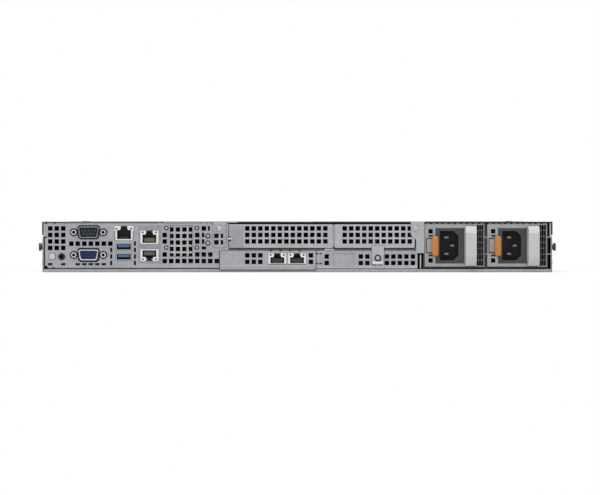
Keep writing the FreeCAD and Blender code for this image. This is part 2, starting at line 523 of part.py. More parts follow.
def build_usb_ports():
    usb = new_body("usb_ports")
    x = sizes.usb_x
    half = sizes.manage_width / 2
    pad(usb, "XZ", rear_inside, rear + sizes.usb_depth,
        rectangle(x - half, board_top, x + half, sizes.usb_top))
    nose = pad(usb, "XZ", rear - sizes.usb_reach, rear_inside,
               centred(x, sizes.usb_low_z, sizes.usb_width, sizes.usb_height))
    repeat(usb, nose, "Z", sizes.usb_pitch, 2)
    mouth = pocket(usb, "XZ", rear - sizes.usb_reach, rear + sizes.usb_mouth,
                   centred(x, sizes.usb_low_z, sizes.usb_width - 2 * sizes.usb_wall,
                           sizes.usb_height - 2 * sizes.usb_wall))
    repeat(usb, mouth, "Z", sizes.usb_pitch, 2)
    tongue = pad(usb, "XZ", rear + sizes.usb_tongue_back, rear + sizes.usb_mouth,
                 centred(x, sizes.usb_low_z + sizes.usb_tongue_rise, sizes.usb_tongue_width,
                         sizes.usb_tongue_height))
    repeat(usb, tongue, "Z", sizes.usb_pitch, 2)


def build_identification():
    button = new_body("id_button")
    pad(button, "XZ", rear - sizes.id_button_reach, rear + sizes.id_stem,
        regular(sizes.id_button_x, sizes.id_button_z, sizes.id_button_radius, 20))
    pad(button, "XZ", rear_inside + sizes.gap, rear_inside + sizes.sheet,
        regular(sizes.id_button_x, sizes.id_button_z, sizes.id_button_radius + sizes.id_flange, 12))

    jack = new_body("id_jack")
    x, z = sizes.id_jack_x, sizes.id_jack_z
    pad(jack, "XZ", rear - sizes.id_rim, rear, regular(x, z, sizes.id_jack_radius, 20))
    pad(jack, "XZ", rear, rear + sizes.id_barrel, regular(x, z, sizes.id_jack_radius - 0.6, 12))
    pocket(jack, "XZ", rear - sizes.id_rim, rear + sizes.id_hole_depth, circle(x, z, sizes.id_jack_bore))


def build_module_grille():
    grille = new_body("module_grille")
    low, high = rear_inside, rear_inside + sizes.cover_sheet
    pad(grille, "XZ", low, high, rectangle(sizes.module_left - 2, sizes.module_low - 1.5,
                                           sizes.module_right + 2, sizes.module_high + 1))
    vents(grille, low, high, sizes.module_vent_x, sizes.module_vent_z, 4, 5)


def build_slot_covers():
    cover = new_body("slot_cover_1")
    pad(cover, "XZ", rear, rear_inside,
        rectangle(sizes.slot1_left, sizes.slot_low, sizes.slot1_right, sizes.slot_high))
    pad(cover, "XY", sizes.slot_high - sizes.cover_sheet, sizes.slot_high,
        rectangle(sizes.slot1_left + sizes.cover1_inset, rear_inside,
                  sizes.slot1_right, rear + sizes.slot_tab))
    vents(cover, rear, rear_inside, sizes.slot1_vent, sizes.slot_vent_z, 13, 3)
    pocket(cover, "XZ", rear, rear_inside, circle(sizes.slot1_left, sizes.cover1_notch_z, sizes.cover1_notch))

    cover = new_body("slot_cover_2")
    pad(cover, "XZ", rear, rear_inside,
        rectangle(sizes.slot2_left, sizes.slot_low, sizes.slot2_right, sizes.slot_high))
    pad(cover, "XY", sizes.slot_high - sizes.cover_sheet, sizes.slot_high,
        rectangle(sizes.slot2_left, rear_inside,
                  sizes.slot2_right - sizes.cover2_inset, rear + sizes.slot_tab))
    pad(cover, "XZ", rear - sizes.cover_sheet, rear,
        rectangle(sizes.tab_left, sizes.tab_low, sizes.tab_right, sizes.tab_high))
    low_line = sizes.tab_low.number + 0.1
    round_edges(cover, sizes.tab_corner, lambda middle, way: abs(way.y) > 0.9 and middle.z < low_line)
    vents(cover, rear, rear_inside, sizes.slot2_vent, sizes.slot_vent_z, 11, 3)

    cover = new_body("slot_cover_3")
    pad(cover, "XZ", rear, rear_inside,
        rectangle(sizes.slot3_left, sizes.panel_bottom, sizes.slot3_right, sizes.slot3_high))
    pad(cover, "XY", sizes.panel_bottom, sizes.panel_bottom + sizes.cover_sheet,
        rectangle(sizes.slot3_left, rear_inside, sizes.slot3_right, rear + sizes.slot_tab))
    pad(cover, "XY", sizes.slot3_high, sizes.rail_low + sizes.sheet,
        rectangle(sizes.catch_left, rear, sizes.catch_right, rear_inside))
    vents(cover, rear, rear_inside, sizes.slot3_vent, sizes.cover3_vent_z, 9, 2)
    vents(cover, rear, rear_inside, sizes.cover3_vent_x, sizes.cover3_vent_z, 1, 2)
    pocket(cover, "XZ", rear, rear + sizes.stamp,
           rectangle(sizes.panel_field_left, sizes.panel_field_low, sizes.panel_field_right,
                     sizes.panel_field_high))


def build_network_card():
    bracket = new_body("network_bracket")
    pad(bracket, "XZ", rear, rear_inside,
        rectangle(sizes.bracket_left, sizes.hem_top, sizes.bracket_right, sizes.slot3_high))
    for x, width, low, high in network_sockets()[3:]:
        pocket(bracket, "XZ", rear, rear_inside,
               rectangle(x - width / 2 - sizes.opening_gap, low - sizes.opening_gap,
                         x + width / 2 + sizes.opening_gap, high + sizes.opening_gap))
    vents(bracket, rear, rear_inside, sizes.slot1_vent, sizes.bracket_vent_z, 3, 2, pitch=sizes.vent_pitch)
    vents(bracket, rear, rear_inside, sizes.bracket_vent_x, sizes.bracket_vent_z, 1, 2)
    pad(bracket, "XZ", rear - sizes.flap_sheet, rear,
        rectangle(sizes.bracket_left, sizes.bracket_foot_low, sizes.bracket_right, sizes.bracket_foot_high))

    card = new_body("network_card")
    pad(card, "XY", sizes.board_low, board_top,
        rectangle(sizes.bracket_left + sizes.card_inset, rear + sizes.card_inset,
                  sizes.bracket_right - sizes.card_inset, rear + sizes.card_depth))
    chip, edge = rear + sizes.chip_back, rear + sizes.edge_back
    pad(card, "XY", board_top, board_top + sizes.chip_height,
        rectangle(sizes.chip_left, chip, sizes.chip_left + sizes.chip_size, chip + sizes.chip_size),
        rectangle(sizes.edge_left, edge, sizes.edge_right, edge + sizes.edge_size))

    riser = new_body("riser_board")
    x = sizes.riser_x
    pad(riser, "YZ", x, x + sizes.board_sheet,
        rectangle(rear + sizes.riser_back, board_top, rear + sizes.riser_depth, sizes.riser_high))
    pad(riser, "YZ", x + sizes.board_sheet, x + sizes.riser_slot_reach,
        rectangle(rear + sizes.riser_slot_back, sizes.riser_slot_low, rear + sizes.riser_slot_end,
                  sizes.riser_slot_high))


def build_main_board():
    board = new_body("main_board")
    edge, step = sizes.board_edge, sizes.panel_step - 0.2
    power = sizes.supply_left - 2.6
    pad(board, "XY", sizes.board_low, board_top,
        [(-edge, rear + sizes.board_back), (step, rear + sizes.board_back), (step, rear + sizes.board_notch),
         (power, rear + sizes.board_notch), (power, rear + sizes.board_power_edge),
         (edge, rear + sizes.board_power_edge), (edge, sizes.board_front), (-edge, sizes.board_front)])
    pad(board, "XY", board_top, sizes.processor_high,
        centred(-sizes.processor_x, 0, sizes.processor_size, sizes.processor_size),
        centred(sizes.processor_x, 0, sizes.processor_size, sizes.processor_size))
    sockets = pad(board, "XY", board_top, board_top + sizes.socket_height,
                  *[centred(x, 0, sizes.socket_width, sizes.socket_length) for x in memory_groups()])
    repeat(board, sockets, "X", sizes.memory_pitch, sizes.memory_count)
    grooves = pocket(board, "XY", board_top + sizes.socket_groove, board_top + sizes.socket_height,
                     *[centred(x, 0, sizes.memory_sheet + 0.2, sizes.memory_length + 0.4)
                       for x in memory_groups()])
    repeat(board, grooves, "X", sizes.memory_pitch, sizes.memory_count)
    # sockets that the tongues of the power supplies plug into
    inner = rear + sizes.supply_depth + sizes.power_socket_gap
    for number in range(2):
        left = sizes.supply_left + number * sizes.supply_pitch
        low, high = left + sizes.power_socket_left, left + sizes.power_socket_right
        pad(board, "XY", board_top, sizes.power_socket_high,
            rectangle(low, inner, high, inner + sizes.power_socket_depth))
        pocket(board, "XZ", inner, inner + sizes.power_mouth_depth,
               rectangle(low + sizes.power_mouth_wall, sizes.power_mouth_low,
                         high - sizes.power_mouth_wall, sizes.power_mouth_high))


def memory_groups():
    """The first socket of each of the four rows of memory, from left to right."""
    near = sizes.processor_x - sizes.memory_offset
    span = sizes.memory_pitch * (sizes.memory_count - 1)
    far = sizes.processor_x + sizes.memory_offset
    return [-far - span, -near, near - span, far]


def build_memory_modules():
    memory = new_body("memory_modules")
    low = board_top + sizes.socket_groove
    modules = pad(memory, "XY", low, low + sizes.memory_height,
                  *[centred(x, 0, sizes.memory_sheet, sizes.memory_length) for x in memory_groups()])
    repeat(memory, modules, "X", sizes.memory_pitch, sizes.memory_count)


def build_heat_sinks():
    sinks = new_body("heat_sinks")
    base_top = sizes.processor_high + sizes.sink_base
    x, half = sizes.processor_x, sizes.sink_width / 2
    pad(sinks, "XY", sizes.processor_high, base_top,
        centred(-x, 0, sizes.sink_width, sizes.sink_depth), centred(x, 0, sizes.sink_width, sizes.sink_depth))
    fins = pad(sinks, "XY", base_top, sizes.sink_high,
               *[centred(centre - half + 1.2, 0, sizes.fin_sheet, sizes.sink_depth) for centre in (-x, x)])
    repeat(sinks, fins, "X", sizes.fin_pitch, sizes.fin_count)


def build_air_shroud():
    shroud = new_body("air_shroud")
    edge, inner = sizes.shroud_edge, sizes.shroud_edge - sizes.shroud_wall
    high = sizes.shroud_low + sizes.shroud_sheet
    pad(shroud, "XZ", -sizes.shroud_half, sizes.shroud_half,
        [(-edge, board_top), (-inner, board_top), (-inner, sizes.shroud_low), (inner, sizes.shroud_low),
         (inner, board_top), (edge, board_top), (edge, high), (-edge, high)])
    window = pocket(shroud, "XY", sizes.shroud_low, high,
                    centred(-sizes.processor_x, sizes.shroud_window_y, sizes.shroud_window,
                            sizes.shroud_window_length))
    repeat(shroud, window, "X", 2 * sizes.processor_x, 2, "Y", sizes.shroud_window_step, 2)


def build_fans():
    axis_z = sizes.sheet + sizes.fan_size / 2
    y0, y1 = sizes.fan_rear, sizes.fan_rear + sizes.fan_depth
    first = -2 * sizes.fan_pitch
    centres = [first + number * sizes.fan_pitch for number in range(5)]

    wall = new_body("fan_wall")
    pad(wall, "XZ", y1, y1 + sizes.sheet, rectangle(-wall_in, sizes.sheet, wall_in, cover_under - 0.6))
    hole = pocket(wall, "XZ", y1, y1 + sizes.sheet, regular(first, axis_z, sizes.fan_bore, 24))
    repeat(wall, hole, "X", sizes.fan_pitch, 5)

    frames = new_body("fan_frames")
    steps = [pad(frames, "XZ", y0, y1, centred(first, axis_z, sizes.fan_size, sizes.fan_size)),
             pocket(frames, "XZ", y0, y1, regular(first, axis_z, sizes.fan_bore, 24)),
             pad(frames, "XZ", y0, y0 + sizes.fan_hub_depth - 2,
                 centred(first, axis_z, 2 * sizes.fan_bore + 1, sizes.strut)),
             pad(frames, "XZ", y0, y0 + sizes.fan_hub_depth, regular(first, axis_z, sizes.fan_hub, 12)),
             pocket(frames, "XZ", y0 + 1, y0 + sizes.fan_hub_depth,
                    circle(first, axis_z, sizes.shaft_radius + sizes.running_gap))]
    repeat(frames, steps, "X", sizes.fan_pitch, 5)

    for number, x in enumerate(centres, start=1):
        rotor = new_body(f"fan_rotor_{number}")
        hub_low, hub_high = y0 + sizes.fan_hub_depth + 0.5, y1 - 1
        pad(rotor, "XZ", hub_low, hub_high, regular(0, 0, sizes.fan_hub, 14))
        pad(rotor, "XZ", y0 + 1.5, hub_low, circle(0, 0, sizes.shaft_radius))
        sweep, sheet = sizes.blade_sweep, sizes.blade_sheet
        blade = pad(rotor, "XY", sizes.fan_hub - 1.5, sizes.blade_tip,
                    [(-sweep, hub_low + 1), (sheet - sweep, hub_low + 1), (sweep, hub_high - 1),
                     (sweep - sheet, hub_high - 1)])
        polar(rotor, blade, "Y", sizes.blade_count)
        rotor.setExpression("Placement.Base.x", x.formula)
        rotor.setExpression("Placement.Base.z", axis_z.formula)


def build_supply_cage():
    cage = new_body("supply_cage")
    left = sizes.supply_left - sizes.gap
    walls = [(left - sizes.cage_wall, left),
             (left + sizes.supply_width + 2 * sizes.gap, left + sizes.supply_pitch),
             (left + sizes.supply_pitch + sizes.supply_width + 2 * sizes.gap,
              left + sizes.supply_pitch + sizes.supply_width + 2 * sizes.gap + sizes.cage_wall)]
    inner = rear + sizes.hem_depth
    (a, b), (c, d), (e, f) = walls
    pad(cage, "XZ", inner, rear + sizes.cage_depth,
        [(a, sizes.sheet), (b, sizes.sheet), (b, sizes.shelf_low), (c, sizes.shelf_low), (c, sizes.sheet),
         (d, sizes.sheet), (d, sizes.shelf_low), (e, sizes.shelf_low), (e, sizes.sheet), (f, sizes.sheet),
         (f, sizes.cage_top), (e, sizes.cage_top), (e, sizes.shelf_high), (d, sizes.shelf_high),
         (d, sizes.cage_top), (c, sizes.cage_top), (c, sizes.shelf_high), (b, sizes.shelf_high),
         (b, sizes.cage_top), (a, sizes.cage_top)])
    pad(cage, "XZ", rear, inner, rectangle(a, sizes.corner_low, b, sizes.cage_top))
    pad(cage, "XZ", rear - sizes.flap_sheet, rear,
        [(sizes.corner_left, sizes.body_height), (sizes.corner_left, sizes.corner_knee),
         (sizes.corner_left + sizes.corner_step, sizes.corner_knee - sizes.corner_drop),
         (sizes.corner_left + sizes.corner_step, sizes.corner_low),
         (b, sizes.corner_low), (b, sizes.body_height)])


def build_power_supply(number):
    shift = sizes.supply_left + (number - 1) * sizes.supply_pitch
    low, high, width = sizes.supply_low, sizes.supply_high, sizes.supply_width
    sheet = sizes.supply_sheet
    inner_end = rear + sizes.supply_depth
    pivot_y = rear + sizes.latch_pivot_depth
    middle = (sizes.latch_low + sizes.latch_high) / 2

    case = new_body(f"supply_{number}_case")
    pad(case, "XZ", rear, inner_end, rectangle(0, low, width, high))
    pocket(case, "XZ", rear + sheet, inner_end, rectangle(sheet, low + sheet, width - sheet, high - sheet))
    pad(case, "XZ", inner_end - sheet, inner_end, rectangle(0, low, width, high))
    pad(case, "XZ", inner_end, inner_end + sizes.tongue,
        rectangle(sizes.tongue_left, sizes.tongue_low, sizes.tongue_right, sizes.tongue_high))
    pocket(case, "XZ", rear, rear + sheet,
           rectangle(sizes.inlet_left, sizes.inlet_low, sizes.inlet_right, sizes.inlet_high))
    pocket(case, "XZ", rear, rear + sheet,
           rectangle(sizes.hatch_left, sizes.latch_low - sizes.hatch_gap, sizes.hatch_right,
                     sizes.latch_high + sizes.hatch_gap))
    for z in (sizes.eye_upper, sizes.eye_lower):
        pocket(case, "XZ", rear, rear + sheet, centred(sizes.eye_x, z, sizes.vent, sizes.vent))
    grille = pocket(case, "XZ", rear, rear + sheet,
                    centred(sizes.grille_x, sizes.grille_low, sizes.grille_slot, sizes.grille_height))
    repeat(case, grille, "X", sizes.grille_pitch, 3, "Z", sizes.grille_rise, 7)
    pocket(case, "YZ", 0, sheet,
           rectangle(rear + sizes.side_hatch_start, middle - sizes.side_hatch_half,
                     rear + sizes.side_hatch_end, middle + sizes.side_hatch_half))
    pocket(case, "XY", low, high,
           circle(sizes.latch_pivot_x, pivot_y, sizes.shaft_radius + sizes.running_gap))

    inlet = new_body(f"supply_{number}_inlet")
    pad(inlet, "XZ", rear + sizes.inlet_back, rear + sizes.inlet_depth,
        rectangle(sizes.inlet_left, sizes.inlet_low, sizes.inlet_right, sizes.inlet_high))
    floor = rear + sizes.inlet_back + sizes.cavity_depth
    cut = sizes.cavity_chamfer
    pocket(inlet, "XZ", rear + sizes.inlet_back, floor,
           [(sizes.cavity_left, sizes.cavity_low), (sizes.cavity_right - cut, sizes.cavity_low),
            (sizes.cavity_right, sizes.cavity_low + cut), (sizes.cavity_right, sizes.cavity_high - cut),
            (sizes.cavity_right - cut, sizes.cavity_high), (sizes.cavity_left, sizes.cavity_high)])
    blades = [(sizes.blade_x, sizes.blade_upper), (sizes.earth_x, sizes.earth_z),
              (sizes.blade_x, sizes.blade_lower)]
    pad(inlet, "XZ", floor - sizes.blade_reach, floor,
        *[centred(x, z, sizes.blade_width, sizes.blade_thick) for x, z in blades])

    handle = new_body(f"supply_{number}_handle")
    reach, wall = rear - sizes.handle_reach, sizes.bail_sheet
    pad(handle, "YZ", sizes.bail_left, sizes.bail_right,
        [(rear, sizes.bail_low), (rear, sizes.bail_low + wall), (reach + wall, sizes.bail_low + wall),
         (reach + wall, sizes.bail_high - wall), (rear, sizes.bail_high - wall), (rear, sizes.bail_high),
         (reach, sizes.bail_high), (reach, sizes.bail_low)])
    outer = reach.number + 0.1
    round_edges(handle, sizes.bail_corner, lambda middle, way: abs(way.x) > 0.9 and middle.y < outer)
    inner_line = reach.number + wall.number + 0.1
    round_edges(handle, sizes.bail_corner - wall,
                lambda middle, way: abs(way.x) > 0.9 and outer < middle.y < inner_line)

    latch = new_body(f"supply_{number}_latch")
    arm = sizes.latch_arm
    arm_in, proud, near = arm + sizes.latch_sheet, rear - sizes.latch_proud, rear - sizes.latch_gap
    pad(latch, "XY", sizes.latch_low, sizes.latch_high,
        [(arm, proud), (sizes.tab_inner, proud), (sizes.tab_inner, near), (arm_in, near),
         (arm_in, pivot_y - 1), (arm, pivot_y - 1)])
    pad(latch, "XY", sizes.orange_low, sizes.orange_high,
        rectangle(sizes.tab_inner, rear - sizes.orange_reach, sizes.tab_outer, near))
    pad(latch, "XY", sizes.latch_low, sizes.latch_high,
        circle(sizes.latch_pivot_x, pivot_y, sizes.latch_eye))
    pad(latch, "XY", low + 0.2, high - 0.2, circle(sizes.latch_pivot_x, pivot_y, sizes.shaft_radius))
    hook = rear + sizes.hook_start
    pad(latch, "XY", middle - sizes.hook_half, middle + sizes.hook_half,
        [(sizes.hook_point, hook), (arm, hook), (arm, rear + sizes.hook_end)])

    for piece in (case, inlet, handle, latch):
        piece.setExpression("Placement.Base.x", shift.formula)


def build_front_frame():
    cage = new_body("drive_cage")
    half = sizes.partition / 2
    low, high = sizes.bay_high, sizes.bay_high + sizes.cover_sheet
    outline = [(-wall_in, high), (-wall_in, low)]
    for number in (-1, 0, 1):
        x = number * sizes.bay_pitch
        outline += [(x - half, low), (x - half, sizes.sheet), (x + half, sizes.sheet), (x + half, low)]
    outline += [(wall_in, low), (wall_in, high)]
    pad(cage, "XZ", sizes.cage_rear, ear_plane, outline)

    strip = new_body("front_panel")
    strip_low, strip_high = high, wall_top
    pad(strip, "XZ", ear_plane - sizes.sheet, ear_plane, rectangle(-wall_in, strip_low, wall_in, strip_high))
    slot = pocket(strip, "XZ", ear_plane - sizes.sheet, ear_plane,
                  centred(sizes.strip_first, (strip_low + strip_high) / 2, sizes.strip_slot,
                          sizes.strip_slot_height))
    repeat(strip, slot, "X", sizes.strip_pitch, 37)

    backplane = new_body("drive_backplane")
    board = sizes.cage_rear - sizes.backplane_set
    pad(backplane, "XZ", board, board + sizes.board_sheet,
        rectangle(-sizes.backplane_edge, sizes.sheet, sizes.backplane_edge, sizes.backplane_high))
    centres = [(number - 1.5) * sizes.bay_pitch for number in range(4)]
    pocket(backplane, "XZ", board, board + sizes.board_sheet,
           *[centred(x, sizes.air_slot_z, sizes.air_slot, sizes.air_slot_height) for x in centres])
    pad(backplane, "XZ", board + sizes.board_sheet, sizes.cage_rear + sizes.drive_socket_reach,
        *[centred(x, sizes.drive_socket_z, sizes.drive_socket, sizes.drive_socket_height) for x in centres])

    cover = new_body("front_cover")
    side = sizes.body_width / 2
    pad(cover, "XZ", sizes.cover_split, ear_plane,
        [(-side, sizes.flange_bottom), (-wall_out, sizes.flange_bottom), (-wall_out, wall_top),
         (wall_out, wall_top), (wall_out, sizes.flange_bottom), (side, sizes.flange_bottom),
         (side, sizes.body_height), (-side, sizes.body_height)])


def build_drive(number):
    shift = (number - 2.5) * sizes.bay_pitch
    half = sizes.carrier_width / 2
    bezel_back = ear_plane + sizes.bezel_gap
    bezel_front = bezel_back + sizes.bezel_depth
    rail_in = sizes.drive_width / 2
    rail_out = rail_in + sizes.rail_sheet
    wall = sizes.bezel_wall

    carrier = new_body(f"drive_carrier_{number}")
    pad(carrier, "XZ", bezel_back, bezel_front, rectangle(-half, sizes.bezel_low, half, sizes.bezel_high))
    pocket(carrier, "XZ", bezel_back, bezel_front - wall,
           rectangle(wall - half, sizes.bezel_low + wall, half - wall, sizes.bezel_high - wall))
    slot = pocket(carrier, "XZ", bezel_front - wall, bezel_front,
                  centred(sizes.bezel_slot_first, sizes.bezel_slot_z, sizes.bezel_slot,
                          sizes.bezel_slot_height))
    repeat(carrier, slot, "X", sizes.bezel_slot_pitch, 11)
    rail_low, rail_high = sizes.carrier_rail_low, sizes.carrier_rail_high
    pad(carrier, "XZ", sizes.cage_rear + sizes.carrier_rail_start, bezel_front - wall,
        rectangle(rail_in, rail_low, rail_out, rail_high),
        rectangle(-rail_out, rail_low, -rail_in, rail_high))
    pivot_x, pivot_y = sizes.lever_pivot_x, bezel_back + sizes.lever_pivot_reach
    lug_low, lug_high = sizes.lever_low - sizes.lever_gap - sizes.lug, sizes.lever_high + sizes.lever_gap
    lug = rectangle(pivot_x - sizes.lug_half, bezel_front,
                    pivot_x + sizes.lug_half, pivot_y + sizes.lug_front)
    pad(carrier, "XY", lug_low, lug_low + sizes.lug, lug)
    pad(carrier, "XY", lug_high, lug_high + sizes.lug, lug)
    pocket(carrier, "XY", lug_low, lug_high + sizes.lug,
           circle(pivot_x, pivot_y, sizes.shaft_radius + sizes.running_gap))

    drive = new_body(f"drive_{number}")
    back, cut = sizes.cage_rear + sizes.drive_start, sizes.drive_cut
    face = back + sizes.drive_length
    pad(drive, "XY", sizes.drive_low, sizes.drive_low + sizes.drive_height,
        [(-rail_in, back + cut), (cut - rail_in, back), (rail_in - cut, back), (rail_in, back + cut),
         (rail_in, face - cut), (rail_in - cut, face), (cut - rail_in, face), (-rail_in, face - cut)])

    lever = new_body(f"drive_lever_{number}")
    back = pivot_y - sizes.lever_back
    bevel, left = sizes.lever_bevel, pivot_x - sizes.lever_left
    pad(lever, "XY", sizes.lever_low, sizes.lever_high,
        [(left, back), (sizes.lever_right, back), (sizes.lever_right, front - bevel),
         (sizes.lever_right - bevel, front), (pivot_x + sizes.lever_shoulder, front),
         (left, pivot_y + sizes.lever_back)])
    window = pocket(lever, "XZ", back, front,
                    centred(sizes.lever_window_first, (sizes.lever_low + sizes.lever_high) / 2,
                            sizes.bezel_slot, sizes.lever_window))
    repeat(lever, window, "X", sizes.bezel_slot_pitch, 8)
    pad(lever, "XY", lug_low, lug_high + sizes.lug, circle(pivot_x, pivot_y, sizes.shaft_radius))

    for piece in (carrier, drive, lever):
        piece.setExpression("Placement.Base.x", shift.formula)


def build_ear(name, side):
    """One rack ear with its housing, and the spring claw that holds it to the rack; side is 1 or -1."""

    def across(low, depth, high, deep):
        return rectangle(side * low, depth, side * high, deep)

    ear = new_body(name + "_ear")
    plate = ear_plane + sizes.ear_sheet
    pad(ear, "XZ", ear_plane, plate, across(skirt_out, sizes.ear_low, sizes.ear_half, sizes.ear_high))
    pad(ear, "XY", sizes.leg_low, sizes.leg_high,
        across(skirt_out, ear_plane - sizes.ear_leg, skirt_out + sizes.ear_leg_sheet, ear_plane))
    inner, outer = skirt_out + sizes.housing_gap, sizes.housing_side
    face, bevel = plate + sizes.housing_reach, sizes.housing_bevel
    pad(ear, "XY", sizes.housing_low, sizes.housing_high,
        [(side * inner, plate), (side * outer, plate), (side * outer, face - bevel),
         (side * (outer - bevel), face), (side * (inner + bevel), face), (side * inner, face - bevel)])
    pivot_x, pivot_y = side * sizes.claw_x, plate + sizes.claw_pivot
    lug = across(outer, plate, sizes.claw_x + sizes.lug_reach, pivot_y + bevel)
    pad(ear, "XY", sizes.housing_low, sizes.claw_low - sizes.claw_gap, lug)
    pad(ear, "XY", sizes.claw_high + sizes.claw_gap, sizes.housing_high, lug)
    pocket(ear, "XY", sizes.housing_low, sizes.housing_high,
           circle(pivot_x, pivot_y, sizes.shaft_radius + sizes.running_gap))
    pocket(ear, "XZ", ear_plane, plate,
           across(sizes.hook_window_in, sizes.hook_window_low, sizes.hook_window_out, sizes.hook_window_high))
    for z in (sizes.rack_mid - sizes.rack_rise / 2, sizes.rack_mid + sizes.rack_rise / 2):
        round_slot(ear, side * sizes.rack_span / 2, z, ear_plane, plate)
    if side > 0:
        pocket(ear, "XZ", plate + sizes.button_well, face,
               circle(sizes.power_x, sizes.rack_mid, sizes.power_radius + sizes.gap))

    claw = new_body(name + "_ear_latch")
    root, near, tip = outer + sizes.claw_room, plate + sizes.claw_clear, face + sizes.claw_proud
    pad(claw, "XY", sizes.claw_low, sizes.claw_high,
        [(side * root, near), (side * (sizes.claw_edge - sizes.claw_bevel), near),
         (side * sizes.claw_edge, plate + 4), (side * sizes.claw_edge, tip), (side * sizes.claw_tip, tip),
         (side * root, plate + sizes.claw_knee)])
    deep, nose = ear_plane - sizes.claw_hook, ear_plane - sizes.hook_back
    pad(claw, "XY", sizes.hook_low, sizes.hook_high,
        [(side * sizes.hook_in, near), (side * sizes.hook_in, deep), (side * (sizes.hook_in + 1.8), deep),
         (side * sizes.hook_out, ear_plane - sizes.hook_nose), (side * sizes.hook_out, nose),
         (side * sizes.hook_waist, nose), (side * sizes.hook_waist, near)])
    pad(claw, "XY", sizes.housing_low, sizes.housing_high, circle(pivot_x, pivot_y, sizes.shaft_radius))


def round_slot(body, x, z, low, high):
    """A slot for a rack screw, with round ends, lying across the ear."""
    radius = sizes.rack_slot_height / 2
    reach = (sizes.rack_slot - sizes.rack_slot_height) / 2
    pocket(body, "XZ", low, high, rectangle(x - reach, z - radius, x + reach, z + radius))
    for middle in (x - reach, x + reach):
        pocket(body, "XZ", low, high, circle(middle, z, radius))


def build_power_button():
    button = new_body("power_button")
    face = ear_plane + sizes.ear_sheet + sizes.housing_reach
    front_end = face + sizes.button_proud
    pad(button, "XZ", front_end - sizes.button_length, front_end,
        circle(sizes.power_x, sizes.rack_mid, sizes.power_radius))


def build_top_cover():
    cover = new_body("top_cover")
    side, inner = sizes.body_width / 2, sizes.body_width / 2 - sizes.cover_sheet
    low, high = rear + sizes.gap, sizes.cover_split - 0.4
    pad(cover, "XZ", low, high,
        [(-side, sizes.flange_bottom), (-inner, sizes.flange_bottom), (-inner, cover_under),
         (inner, cover_under), (inner, sizes.flange_bottom), (side, sizes.flange_bottom),
         (side, sizes.body_height), (-side, sizes.body_height)])
    well_sheet = sizes.cover_sheet
    pad(cover, "XY", sizes.well_floor - well_sheet, cover_under,
        centred(0, sizes.latch_y, sizes.well_width + 2 * well_sheet, sizes.well_length + 2 * well_sheet))
    pocket(cover, "XY", sizes.well_floor, sizes.body_height,
           centred(0, sizes.latch_y, sizes.well_width, sizes.well_length))
    half = sizes.well_width / 2 + well_sheet
    pivot_y = sizes.latch_y + sizes.latch_pivot_y
    pocket(cover, "YZ", -half, half,
           circle(pivot_y, sizes.latch_pivot_z, sizes.shaft_radius + sizes.running_gap))
    pad(cover, "XY", sizes.body_height, sizes.body_height + sizes.dimple_height,
        regular(-sizes.dimple_x, rear + sizes.dimple_depth, sizes.dimple_radius, 16),
        regular(sizes.dimple_x, rear + sizes.dimple_depth, sizes.dimple_radius, 16))
    # stiffening fields pressed into the sheet
    field = pocket(cover, "XY", sizes.body_height - sizes.stamp, sizes.body_height,
                   centred(sizes.lid_field_x, sizes.lid_field_y, sizes.lid_field_width,
                           sizes.lid_field_length))
    repeat(cover, field, "X", sizes.lid_field_pitch, 2, "Y", sizes.lid_field_step, 2)

    latch = new_body("cover_latch")
    rear_end = sizes.latch_y - sizes.latch_rear
    top = sizes.body_height - 0.4
    pad(latch, "YZ", -sizes.latch_half, sizes.latch_half,
        [(rear_end, top - 3), (rear_end, top), (pivot_y + 2, top), (pivot_y + 2, sizes.latch_pivot_z - 2),
         (pivot_y - 4, sizes.latch_pivot_z - 2), (pivot_y - 7, top - 3)])
    pad(latch, "YZ", -half + 0.2, half - 0.2, circle(pivot_y, sizes.latch_pivot_z, sizes.shaft_radius))


def build_rail_studs():
    studs = new_body("rail_studs")
    first, neck, reach = rear + sizes.stud_first, skirt_out + sizes.stud_neck, skirt_out + sizes.stud_reach
    shank = regular(first, sizes.stud_z, sizes.stud_shank, 10)
    head = regular(first, sizes.stud_z, sizes.stud_head, 18)
    steps = [pad(studs, "YZ", skirt_out, neck, shank), pad(studs, "YZ", neck, reach, head),
             pad(studs, "YZ", -neck, -skirt_out, shank), pad(studs, "YZ", -reach, -neck, head)]
    repeat(studs, steps, "Y", sizes.stud_pitch, 4)


def build_jackscrews():
    screws = new_body("jackscrews")
    half = sizes.jackscrew_span / 2
    spots = [(sizes.port_x + side * half, z) for side in (-1, 1) for z in (sizes.serial_z, sizes.video_z)]
    pad(screws, "XZ", rear - sizes.jackscrew_reach, rear_inside,
        *[regular(x, z, sizes.jackscrew_radius, 6) for x, z in spots])
    pocket(screws, "XZ", rear - sizes.jackscrew_reach, rear_inside,
           *[circle(x, z, sizes.jackscrew_hole) for x, z in spots])


build_chassis_tray()
build_rear_panel()
build_ports()
build_usb_ports()
build_network_jacks()
build_identification()
build_module_grille()
build_slot_covers()
build_network_card()
build_main_board()
build_memory_modules()
build_heat_sinks()
build_air_shroud()
build_fans()
build_supply_cage()
for supply in (1, 2):
    build_power_supply(supply)
build_front_frame()
for bay in (1, 2, 3, 4):
    build_drive(bay)
build_ear("left", -1)
build_ear("right", 1)
build_power_button()
build_top_cover()
build_rail_studs()
build_jackscrews()

